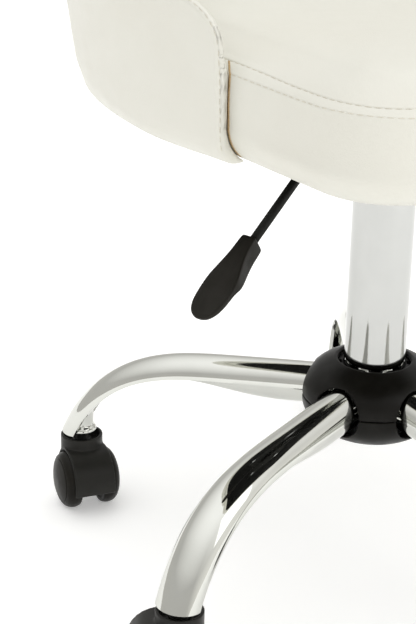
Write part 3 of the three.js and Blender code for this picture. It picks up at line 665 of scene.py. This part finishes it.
def paddle_piece():
    """A flat blade on a thick socket: boxy in section, with a crisp top edge."""
    high = ROD_Z - (PADDLE_FROM - BEND) * math.tan(SLOPE)
    along = Vector((math.cos(SLOPE), 0, -math.sin(SLOPE)))
    up = Vector((math.sin(SLOPE), 0, math.cos(SLOPE)))
    rings = []
    for share, half, above, below in PADDLE:
        middle = Vector((PADDLE_FROM, 0, high)) + along * PADDLE_LONG * share
        ring = []
        for x, y, fillet in ((-1, 1, 1.3), (1, 1, 1.3), (1, -1, 1.8), (-1, -1, 1.8)):
            height = above if y > 0 else below
            r = min(fillet, half * 0.45, height * 0.8)
            for k in range(5):
                turn = math.pi / 2 * k / 4
                out, over = math.cos(turn), math.sin(turn)
                if x * y > 0:
                    out, over = over, out
                sideways = Vector((0, x * (half - r + r * out), 0))
                ring.append(middle + sideways + up * y * (height - r + r * over))
        rings.append(ring)
    return loft("paddle", rings, GRIP)


def build_lever():
    axis = joint("lever_pull")["axis"]
    turn = Matrix.Rotation(math.atan2(axis[0], -axis[1]), 4, "Z")
    fall = math.tan(SLOPE)
    level, corner = Vector((BEND_FROM, 0, ROD_Z)), Vector((BEND, 0, ROD_Z))
    sloping = Vector((BEND_TO, 0, ROD_Z - (BEND_TO - BEND) * fall))
    bend = [level.lerp(corner, k / 8).lerp(corner.lerp(sloping, k / 8), k / 8) for k in range(9)]
    end = Vector((ROD_END, 0, ROD_Z - (ROD_END - BEND) * fall))
    path = [Vector((-3, 0, ROD_Z)), Vector((20, 0, ROD_Z)), *bend, end]
    rod = sweep("lever_bar", path, 3.5, 24, BLACK_STEEL)
    rod.data.transform(turn)
    keep(rod, "lever", "black_steel", "lever_rod")
    outline = [(2.3, -3.7, 0.3), (5, -3.7, 0.5), (5, 3.7, 0.5), (2.3, 3.7, 0.3)]
    eye = across(tube("lever_eye", outline, 32, BLACK_STEEL), PIN_PLACE, ROD_Z)
    eye.data.transform(turn)
    keep(eye, "lever", "black_steel")
    paddle = paddle_piece()
    paddle.data.transform(turn)
    add_modifier(paddle, "SUBSURF", levels=1, render_levels=1)
    keep(settled(paddle), "lever", "black_plastic", "lever_paddle")


# ---- the carried-over pieces that stay as packed, with softened edges and their own finish ----
def dress(node, look, width=0.4):
    piece = frame["nodes"][node]
    piece.data.materials.clear()
    piece.data.materials.append(look)
    crease = math.radians(35)
    add_modifier(piece, "BEVEL", width=width * MM, segments=2, limit_method="ANGLE", angle_limit=crease)
    piece.data.shade_smooth()
    piece.data.set_sharp_from_angle(angle=crease)


def dress_inner_pieces():
    for node in ("thrust_bearing", "rod_clip", "piston_rod", "cylinder_gland", "lever_pivot_pin"):
        dress(node, STEEL)
    for k in range(1, 5):
        dress(f"seat_bolt_{k}", STEEL)
    dress("mechanism_plate", BLACK_STEEL, 0.5)
    dress("rod_bumper", RUBBER)
    dress("seat_board", PLYWOOD, 0.8)


# ---- seat ----
CENTRE_Y, POWER = -60.0, 2 / 2.3
SEAT_LOW, SEAT_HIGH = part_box("seat_pad")
SEAT_HALF, SEAT_REAR, SEAT_FRONT = SEAT_HIGH.x / MM, SEAT_HIGH.y / MM, SEAT_LOW.y / MM
SEAT_COLUMNS = 260
SEAT_CORNER, UNDER_ROUND, SEAT_BOTTOM = 70.0, 29.0, 402.7
SEAM_LOW, SEAM_HIGH, BAND_INSET, SEAT_CROWN = 466.0, 471.5, 8.0, 487.0
BOARD_INSET, BOARD_TOP = 33.7, 417.4
LINING_INSET, LINING_LOW, LINING_HIGH = 27, 402.46, 402.58


def run_along(points):
    """The distance covered along a line, at each of its points."""
    return np.concatenate([[0], np.cumsum(np.linalg.norm(np.diff(points, axis=0), axis=1))])


def at_run(at, run, points):
    """The (inset, height) of a profile at a distance along it."""
    return [float(np.interp(at, run, points[:, k])) for k in (0, 1)]


def resampled(points, count, closed=True):
    p = np.array(points, float)
    if closed:
        p = np.vstack([p, p[:1]])
    run = run_along(p)
    at = np.linspace(0, run[-1], count, endpoint=not closed)
    return np.stack([np.interp(at, run, p[:, k]) for k in range(p.shape[1])], 1)


def seat_outline(count):
    """The seat's plan: the tub's curve behind, rounded corners in front, with outward normals."""
    points = []
    for k in range(181):
        angle = math.pi * k / 180
        across_share = math.copysign(abs(math.cos(angle)) ** POWER, math.cos(angle))
        back = (SEAT_REAR - CENTRE_Y) * math.sin(angle) ** POWER
        points.append((SEAT_HALF * across_share, CENTRE_Y + back))
    for side, start in ((-1, 180), (1, 270)):
        for k in range(31):
            angle = math.radians(start + 3 * k)
            points.append((side * (SEAT_HALF - SEAT_CORNER) + SEAT_CORNER * math.cos(angle),
                           SEAT_FRONT + SEAT_CORNER + SEAT_CORNER * math.sin(angle)))
    plan = resampled(points, count)
    along = np.roll(plan, -1, 0) - np.roll(plan, 1, 0)
    normal = np.stack([along[:, 1], -along[:, 0]], 1)
    return plan, normal / np.linalg.norm(normal, axis=1)[:, None]


def seat_profile():
    """(inset, height) round the lower edge, up the side, over the sewn band and on to the top."""
    points = []
    for k in range(46):
        angle = math.radians(90 - 2 * k)
        inset = UNDER_ROUND * (1 - math.cos(angle))
        points.append((inset, SEAT_BOTTOM + UNDER_ROUND * (1 - math.sin(angle))))
    side = SEAT_BOTTOM + UNDER_ROUND
    for z in np.arange(side + 0.5, SEAM_LOW, 0.5):
        points.append((0.3 - 0.6 * math.sin(math.pi * (z - side) / (SEAM_LOW - side)), z))
    low = len(points)
    for k in range(24):
        t = k / 24
        puff = 0.4 * math.sin(math.pi * t)
        points.append((mix(0.3, BAND_INSET, t) - 0.6 * puff, mix(SEAM_LOW, SEAM_HIGH, t) + 0.8 * puff))
    high = len(points)
    points += [(BAND_INSET + 61 * t, SEAM_HIGH + (SEAT_CROWN - SEAM_HIGH) * (1 - (1 - t) ** 2.6))
               for t in np.linspace(0, 0.55, 110)]
    points = np.array(points)
    run = run_along(points)
    return points, run, (run[low], run[high])


def seat_levels():
    """Each ring as (inset, share of the way to the middle, height, run along the profile)."""
    points, run, seams = seat_profile()
    levels = [(BOARD_INSET, share, BOARD_TOP, -99) for share in (0.98, 0.5, 0)]
    levels += [(BOARD_INSET - 0.2, 0, z, -99) for z in (BOARD_TOP - 1.4, 404)]
    levels.append((BOARD_INSET - 1.5, 0, SEAT_BOTTOM, -99))
    at = 0.0
    while at < run[-1]:
        inset, z = at_run(at, run, points)
        levels.append((inset, 0, z, at))
        beside = min(abs(at - seam) for seam in seams)
        at += 0.45 if beside < 1.5 else 1.1 if beside < 5 else 4.2
    inset, edge = points[-1]
    for share in (0.03, 0.08, 0.15, 0.24, 0.35, 0.47, 0.6, 0.73, 0.86, 0.95, 0.985):
        levels.append((inset, share, edge + (SEAT_CROWN - edge) * (1 - (1 - share) ** 2.2), 999))
    return levels, seams


def ring_points(plan, normal, inset, share, z):
    edge = plan - normal * inset
    flat = edge - edge * share
    return np.column_stack([flat, np.full(len(flat), z)])


def puffed(form, voxel, cap, held):
    """A stuffed copy of a closed form: cloth under inner pressure, with each point's travel capped."""
    soft = form.copy()
    soft.data = form.data.copy()
    bpy.context.scene.collection.objects.link(soft)
    add_modifier(soft, "REMESH", mode="VOXEL", voxel_size=voxel * MM)
    settled(soft)
    start = np.empty(len(soft.data.vertices) * 3)
    soft.data.vertices.foreach_get("co", start)
    start = start.reshape(-1, 3)
    pins = soft.vertex_groups.new(name="held")
    pins.add([i for i, p in enumerate(start) if held(p / MM)], 1.0, "REPLACE")
    cloth = soft.modifiers.new("cloth", "CLOTH")
    cloth.settings.use_pressure = True
    cloth.settings.uniform_pressure_force = 4
    cloth.settings.effector_weights.gravity = 0
    cloth.settings.vertex_group_mass = "held"
    cloth.settings.quality = 4
    for number in range(1, 21):
        bpy.context.scene.frame_set(number)
    evaluated = soft.evaluated_get(bpy.context.evaluated_depsgraph_get())
    end = np.empty(len(start) * 3)
    evaluated.data.vertices.foreach_get("co", end)
    move = end.reshape(-1, 3) - start
    length = np.linalg.norm(move, axis=1)[:, None]
    move *= np.minimum(1, cap * MM / np.maximum(length, 1e-9))
    bpy.context.scene.frame_set(1)
    soft.modifiers.clear()
    soft.data.vertices.foreach_set("co", (start + move).ravel())
    soft.data.update()
    return soft


def pulled_onto(points, soft, share, most, rows, closed):
    """Moves a grid of points (mm) smoothly towards the stuffed surface, each at most so far."""
    tree = BVHTree.FromObject(soft, bpy.context.evaluated_depsgraph_get())
    step = np.array([tree.find_nearest(Vector(p) * MM)[0] for p in points]) / MM - points
    step *= share
    step *= np.minimum(1, most / np.maximum(np.linalg.norm(step, axis=1), 1e-9))[:, None]
    step = step.reshape(rows, -1, 3)
    for _ in range(12):
        wide = np.pad(step, ((0, 0), (1, 1), (0, 0)), mode="wrap" if closed else "edge")
        tall = np.pad(step, ((1, 1), (0, 0), (0, 0)), mode="edge")
        step = step * 0.4 + (wide[:, :-2] + wide[:, 2:] + tall[:-2] + tall[2:]) * 0.15
    return points + np.minimum(1, most * 4)[:, None] * step.reshape(-1, 3)


def surface_normals(points, rows, columns):
    grid = points.reshape(rows, columns, 3)
    around = np.roll(grid, -1, 1) - np.roll(grid, 1, 1)
    up = np.gradient(grid, axis=0)
    normal = np.cross(around, up).reshape(-1, 3)
    return normal / np.maximum(np.linalg.norm(normal, axis=1)[:, None], 1e-9)


def snapped(line, piece):
    """The line's points and normals taken from the nearest place on a piece."""
    tree = BVHTree.FromObject(piece, bpy.context.evaluated_depsgraph_get())
    return [tree.find_nearest(Vector(point))[:2] for point in line]


def gap_shade_strip(name, side, seat):
    """A tan strip on the seat's side where it goes in behind the arm: painted shade for the dark crevice
    between the seat and the arm.
    """
    points, run, seams = seat_profile()
    heights = np.arange(20, seams[1] + 1, 1.5)
    rows = []
    for depth in (0.2, 1.2, 2.4):
        line = []
        for at in heights:
            inset, z = at_run(at, run, points)
            back = 1.5 * inset if z > SEAM_LOW else 0
            line.append(Vector((side * (SEAT_HALF - inset), FRONT_Y + depth + back, z)) * MM)
        rows.append(snapped(line, seat))
    half = 0.3 * MM
    rings = [[(p + n * half) / MM for p, n in row] + [(p - n * half) / MM for p, n in reversed(row)]
             for row in rows]
    return loft(name, rings, TAN_GAP_SHADE)


def stuffed_seat(grid, levels, plan, normal):
    """The seat's grid, pulled onto a slightly smaller cloth form that is filled out by pressure."""
    small = []
    for inset, share, z, _ in levels[::2]:
        inset += 3.5 if z > 425 else 0
        small.append(ring_points(plan, normal, inset, share, z - 5 * smoothstep(z, 462, 478)))
    form = loft("seat_form", [[tuple(p) for p in ring] for ring in small], LEATHER)
    soft = puffed(form, 6, 8, lambda p: p[2] < 424)
    free = []
    for _, y, z in grid:
        clear_of_arms = max(smoothstep(z, 470, 484), smoothstep(-y, 12 - FRONT_Y, 50 - FRONT_Y))
        free.append(4 * smoothstep(z, 426, 434) * clear_of_arms)
    grid = pulled_onto(grid, soft, 0.75, np.array(free), len(levels), True)
    discard(soft)
    discard(form)
    return grid


def grooved(grid, levels, seams, normal):
    """Sinks the grid along both seams."""
    rows = len(levels)
    outward = surface_normals(grid, rows, SEAT_COLUMNS)
    side_on = (outward[:, :2] * np.tile(normal, (rows, 1))).sum(1)
    outward *= np.sign(side_on + outward[:, 2] * 0.5)[:, None]
    run = np.array([level[3] for level in levels]).repeat(SEAT_COLUMNS)
    groove = sum(np.exp(-((run - seam) / 0.55) ** 2) for seam in seams)
    return grid - outward * (0.6 * groove)[:, None]


def build_seat():
    plan, normal = seat_outline(SEAT_COLUMNS)
    levels, seams = seat_levels()
    grid = np.vstack([ring_points(plan, normal, *level[:3]) for level in levels])
    grid = stuffed_seat(grid, levels, plan, normal)
    grid = grooved(grid, levels, seams, normal)
    rings = grid.reshape(len(levels), SEAT_COLUMNS, 3)
    seat = loft("seat_cushion", [[tuple(p) for p in ring] for ring in rings], LEATHER)
    add_modifier(seat, "SUBSURF", levels=1, render_levels=1, use_limit_surface=False)
    keep(settled(seat), "seat", "cover_leather", "seat_pad")
    lines = []
    for seam in seams:
        row = int(np.argmin([abs(level[3] - seam) for level in levels]))
        around = [Vector(rings[row][k % SEAT_COLUMNS]) * MM for k in range(SEAT_COLUMNS + 1)]
        lines.append(snapped(around, seat))
    keep(stitches("seat_stitching", lines, PITCH), "seat", "cover_leather")
    flat = [[tuple(p) for p in ring_points(plan, normal, LINING_INSET, 0, z)]
            for z in (LINING_LOW, LINING_HIGH)]
    keep(loft("seat_underside_lining", flat, LINING), "seat", "black_plastic")
    # Tan strips of painted shade fill the crevices where the seat's side goes in behind the arms.
    for name, side in (("left", -1), ("right", 1)):
        keep(gap_shade_strip(f"seat_side_gap_shade_{name}", side, seat), "seat", "cover_leather")


# ---- back ----
SHELL_LOW, SHELL_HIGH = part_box("back_shell")
HALF_WIDTH, DEPTH, FRONT_Y = 240.0, 310.7, SHELL_LOW.y / MM
SHELL_BOTTOM, CORNER_LIFT, BACK_TOP = 400.0, 4.5, SHELL_HIGH.z / MM
FRONT_RUN = (CENTRE_Y - FRONT_Y) / 1050
LEAN, LEAN_FROM, WALL = 0.145, 424.0, 7.0
CURL, CURL_TURN, LIP_WALL = 17.0, math.radians(105), 3.0
SEAT_GAP = 0.9
ARM_CORNER, ARM_TOP, CORNER_SHARE = 480.0, 508.0, 0.03
PAD_BOTTOM, PAD_START, PAD_SEAM = 489.0, 44.0, 7.6


def shell_plan(share, inset):
    end = min(share, 1 - share)
    if end < FRONT_RUN:
        side = -1 if share < 0.5 else 1
        return side * (HALF_WIDTH - inset), CENTRE_Y - (1 - end / FRONT_RUN) * (CENTRE_Y - FRONT_Y)
    turn = math.pi * (1 - (share - FRONT_RUN) / (1 - 2 * FRONT_RUN))
    across_share = math.copysign(abs(math.cos(turn)) ** POWER, math.cos(turn))
    return (HALF_WIDTH - inset) * across_share, CENTRE_Y + (DEPTH - inset) * max(math.sin(turn), 0) ** POWER


def shell_top(share):
    end = min(share, 1 - share)
    corner = 1 - (1 - min(1, end / CORNER_SHARE)) ** 2
    climb = (BACK_TOP - ARM_TOP) * smoothstep(end, 0.01, 0.42)
    return ARM_CORNER + (ARM_TOP - ARM_CORNER) * corner ** 0.5 + climb


def shell_lean(z, share):
    end = min(share, 1 - share)
    return LEAN * mix(0.35, 1, smoothstep(end, 0, 0.15)) * max(0, z - LEAN_FROM)


SHARES = np.linspace(0, 1, 2001)
PLAN_RUN = run_along([shell_plan(s, 0) for s in SHARES])
LENGTH = PLAN_RUN[-1]


def shell_bottom(share):
    return SHELL_BOTTOM + CORNER_LIFT * (1 - smoothstep(min(share, 1 - share), 0, 2 * FRONT_RUN))


# Distances from an edge, in millimetres, at which a wall gets its rows of points.
FINE = [0, 0.12, 0.35, 0.75, 1.4, 2.2, 3.2, 4.4, 6, 7, 7.6, 8.2, 9, 10.5, 13, 17]


def beside_seat(point, lean):
    """Moves a point (inset, height) of the shell's inner face to a thin gap from the seat's side."""
    inset, z = point
    side = HALF_WIDTH - SEAT_HALF
    centre = np.array([side + UNDER_ROUND, SEAT_BOTTOM + UNDER_ROUND])
    if z < centre[1]:
        ray = point + (lean, 0) - centre
        return centre + ray / np.linalg.norm(ray) * (UNDER_ROUND + SEAT_GAP) - (lean, 0)
    return np.array([mix(side - SEAT_GAP + lean, inset, smoothstep(z, 461, 480)), z])


class Wall:
    """A padded wall along the tub's outline, seen unrolled as (run along the outline, height).

    Its faces lie outer and inner mm in from the outline. Its top is drop below the shell's, and it
    starts that far along the outline. With no floor, it rolls in under the seat. Its edges are
    rounded over the radius, the more boxy the squarer.
    """

    def __init__(self, outer, inner, floor, drop, start, radius, boxy):
        self.outer, self.inner, self.floor, self.drop = outer, inner, floor, drop
        self.start, self.radius, self.boxy = start, radius, boxy
        ends = FINE[:9]
        run = np.concatenate([[start + f for f in ends], np.arange(start + 7, LENGTH - start - 6.5, 0.5),
                              [LENGTH - start - f for f in reversed(ends)]])
        bottom = np.array([[a, self.bottom(a)] for a in run])
        rim = [bottom[0], *([a, self.top(a)] for a in run), bottom[-1]]
        self.rim = resampled(rim, int(2.5 * LENGTH), closed=False)
        self.edge = np.vstack([self.rim, bottom])

    def share(self, run):
        return float(np.interp(run, PLAN_RUN, SHARES))

    def top(self, run):
        return shell_top(self.share(run)) - self.drop

    def bottom(self, run):
        return self.floor or shell_bottom(self.share(run)) + CURL * (1 - CURL_TURN)

    def away(self, run, z, rim_only=False):
        """Distance from the wall's edge, measured on the unrolled wall."""
        edge = self.rim if rim_only else self.edge
        return float(np.sqrt(((edge - (run, z)) ** 2).sum(1)).min())

    def point(self, run, z, face, lift=0.0):
        """A point on the outer (0) or inner (1) face, its edges rounded by the wall's radius."""
        share = self.share(run)
        near = 1 - min(self.away(run, z), self.radius) / self.radius
        fullness = max(0.0, 1 - near ** self.boxy) ** (1 / self.boxy)
        start = shell_bottom(share) + CURL
        slope = 0.0 if self.floor else max(0.0, start - z) / CURL
        base = np.array([0.0, z])
        if slope:
            base = np.array([CURL * (1 - math.cos(slope)), start - CURL * math.sin(slope)])
        inward = np.array([math.cos(slope), math.sin(slope)]) * mix(1, LIP_WALL / WALL, slope / CURL_TURN)
        sides = [base + inward * self.outer, base + inward * self.inner]
        if not self.floor:
            sides[1] = beside_seat(sides[1], shell_lean(sides[1][1], share))
        middle = (sides[0] + sides[1]) / 2
        inset, height = middle + (sides[face] - middle) * fullness - inward * lift * (1 - 2 * face)
        x, y = shell_plan(share, inset - shell_lean(height, share))
        return np.array([x, y, height])


def spaced(low, high, fine, step):
    """Values from low to high: the fine offsets from both ends, and even steps between."""
    reach = fine[-1]
    inner = np.linspace(low + reach, high - reach, max(2, int((high - low - 2 * reach) / step) + 1))
    return np.concatenate([[low + f for f in fine[:-1]], inner, [high - f for f in fine[-2::-1]]])


def wall_piece(name, wall, swell, seam, depth, soft=None):
    """The wall as one closed skin: outer face, then inner face, sewn together along its edge."""
    runs = spaced(wall.start, LENGTH - wall.start, FINE, 9)
    shares = spaced(0, 1, [f / 100 for f in FINE], 0.055)
    rows, columns = len(runs), len(shares)
    faces_points = []
    for face in (0, 1):
        points = []
        for run in runs:
            low, high = wall.bottom(run), wall.top(run)
            for share in shares:
                z = low + (high - low) * shares_to_height(share, high - low)
                away = wall.away(run, z)
                inside = 1 - math.exp(-max(0.0, away - 4) / 14)
                groove = math.exp(-((wall.away(run, z, True) - seam) / 0.7) ** 2)
                points.append(wall.point(run, z, face, swell[face] * inside - depth * groove))
        faces_points.append(np.array(points))
    if soft is not None:
        grid = faces_points[1]
        faces_points[1] = pulled_onto(grid, soft, 0.8, np.full(len(grid), 5.0), rows, False)
    verts = [Vector(p) * MM for p in np.vstack(faces_points)]
    faces = grid_faces(rows, columns)
    offset = rows * columns
    faces += [[offset + f for f in reversed(face)] for face in grid_faces(rows, columns)]
    border = [(0, j) for j in range(columns)] + [(i, columns - 1) for i in range(1, rows)]
    border += [(rows - 1, j) for j in range(columns - 2, -1, -1)] + [(i, 0) for i in range(rows - 2, 0, -1)]
    ids = [i * columns + j for i, j in border]
    for a, b in zip(ids, ids[1:] + ids[:1]):
        if any((verts[k] - verts[offset + k]).length > 1e-7 for k in (a, b)):
            faces.append([a, offset + a, offset + b, b])
    return make(name, verts, faces, LEATHER)


def shares_to_height(share, tall):
    """Puts the fine rows at the same real distance from both edges, whatever the wall's height."""
    fine_end = FINE[-1] / 100
    if share <= fine_end:
        return share * 100 / tall
    if share >= 1 - fine_end:
        return 1 - (1 - share) * 100 / tall
    t = (share - fine_end) / (1 - 2 * fine_end)
    return mix(FINE[-1] / tall, 1 - FINE[-1] / tall, t)


def rim_path(wall, inset, lowest, face=0):
    """Points along the rim's seam, the given distance inside the edge."""
    step = 2.0
    rim = []
    for run in np.arange(wall.start + inset, LENGTH - wall.start - inset, step):
        low, high = wall.bottom(run), wall.top(run)
        for _ in range(18):
            middle = (low + high) / 2
            if wall.away(run, middle, True) > inset and middle < wall.top(run):
                low = middle
            else:
                high = middle
        if low > wall.bottom(run) + 20:
            rim.append((run, low))
    first = [(rim[0][0], z) for z in np.arange(lowest, rim[0][1], step)]
    last = [(rim[-1][0], z) for z in np.arange(rim[-1][1], lowest, -step)]
    return [Vector(wall.point(run, z, face)) * MM for run, z in [*first, *rim, *last]]


def build_back():
    shell = Wall(outer=0.0, inner=WALL, floor=0, drop=0.0, start=0.0, radius=3.5, boxy=2.6)
    cover = wall_piece("back_cover", shell, (1.0, 0.0), 0.3, 0.0)
    keep(cover, "seat", "cover_leather", "back_shell")
    rim = snapped(rim_path(shell, 0.3, 414), cover)
    keep(stitches("back_stitching", [rim], BACK_PITCH), "seat", "cover_leather")
    pad = Wall(outer=WALL + 0.6, inner=22.0, floor=PAD_BOTTOM, drop=1.5, start=PAD_START, radius=7.0,
               boxy=2.0)
    soft = None
    core = Wall(outer=9.0, inner=19.0, floor=PAD_BOTTOM + 3, drop=4.0, start=PAD_START + 3, radius=5.0,
                boxy=2.0)
    form = wall_piece("pad_form", core, (0, 0), 0, 0)
    soft = puffed(form, 6, 6, lambda p: False)
    discard(form)
    cushion = wall_piece("back_cushion", pad, (0.0, 0.5), PAD_SEAM, 0.8, soft)
    if soft:
        discard(soft)
    add_modifier(cushion, "SUBSURF", levels=1, render_levels=1)
    keep(settled(cushion), "seat", "cover_leather", "back_pad")
    rim = snapped(rim_path(pad, PAD_SEAM, PAD_BOTTOM + 4, 1), cushion)
    keep(stitches("back_inner_stitching", [rim], BACK_PITCH), "seat", "cover_leather")


# ---- floor, light and camera ----
FLOOR = Shade("pale_floor", (0.93, 0.93, 0.925), 0.8, Emission_Color=(1, 1, 1, 1), Emission_Strength=0.28)
FLOOR.tint(FLOOR.spread(FLOOR.noise(2, 3), 0.3, 0.7), (0.925, 0.925, 0.92), (0.94, 0.94, 0.935))
FLOOR.bump(FLOOR.noise(300, 2), 0.00002, 0.3)


def studio_sky():
    """White light all round, brighter overhead and in front like a studio's big diffusers."""
    world = bpy.data.worlds.new("studio")
    world.use_nodes = True
    nodes, links = world.node_tree.nodes, world.node_tree.links
    direction = nodes.new("ShaderNodeTexCoord").outputs["Generated"]
    split = nodes.new("ShaderNodeSeparateXYZ")
    links.new(direction, split.inputs["Vector"])
    height = split.outputs["Z"]
    facing = nodes.new("ShaderNodeVectorMath")
    facing.operation = "DOT_PRODUCT"
    facing.inputs[1].default_value = (0.55, -0.83, 0)
    links.new(direction, facing.inputs[0])
    total = nodes.new("ShaderNodeMath")
    links.new(spread(nodes, links, height, 0.35, 0.95, 0.66, 1.42), total.inputs[0])
    links.new(spread(nodes, links, facing.outputs["Value"], 0.5, 0.95, 0, 0.42), total.inputs[1])
    warmth = nodes.new("ShaderNodeValToRGB")
    warmth.color_ramp.elements[0].color = (1, 0.985, 0.945, 1)
    warmth.color_ramp.elements[1].color = (1, 1, 1, 1)
    links.new(height, warmth.inputs["Fac"])
    sky = nodes["Background"]
    links.new(total.outputs["Value"], sky.inputs["Strength"])
    links.new(warmth.outputs["Color"], sky.inputs["Color"])
    bpy.context.scene.world = world


def build_stage():
    half = 12
    corners = [(-half, -half, 0), (half, -half, 0), (half, half, 0), (-half, half, 0)]
    make("floor", corners, [[0, 1, 2, 3]], FLOOR.material)
    studio_sky()
    light = bpy.data.lights.new("key", "AREA")
    light.size, light.energy = 2.2, 14
    lamp = bpy.data.objects.new("key", light)
    lamp.location = (0.9, -2.4, 2.4)
    lamp.rotation_euler = (Vector((0, 0, 0.4)) - lamp.location).to_track_quat("-Z", "Y").to_euler()
    bpy.context.scene.collection.objects.link(lamp)
    bpy.context.scene.view_settings.view_transform = "Standard"


def build_camera():
    """Looks down at the stool's right front, from a little above the seat, with a slight tilt."""
    turn = math.radians(1.0)
    ahead = Matrix.Rotation(turn, 3, "Z") @ Vector((0.5564, 0.7405, -0.3770)).normalized()
    right = ahead.cross(Vector((0, 0, 1))).normalized()
    up = right.cross(ahead)
    tilt = math.radians(1.41)
    across_picture = math.cos(tilt) * right + math.sin(tilt) * up
    up_picture = math.cos(tilt) * up - math.sin(tilt) * right
    data = bpy.data.cameras.new("camera")
    data.lens, data.sensor_width = 102.93, 36
    camera = bpy.data.objects.new("camera", data)
    bpy.context.scene.collection.objects.link(camera)
    axes = Matrix((across_picture, up_picture, -ahead)).transposed().to_4x4()
    place = Matrix.Rotation(turn, 3, "Z") @ Vector((-0.9109, -0.9848, 0.755))
    camera.matrix_world = Matrix.Translation(place) @ axes
    bpy.context.scene.camera = camera


build_legs()
build_casters()
build_hub()
build_lift()
build_lever()
dress_inner_pieces()
build_seat()
build_back()
build_stage()
build_camera()
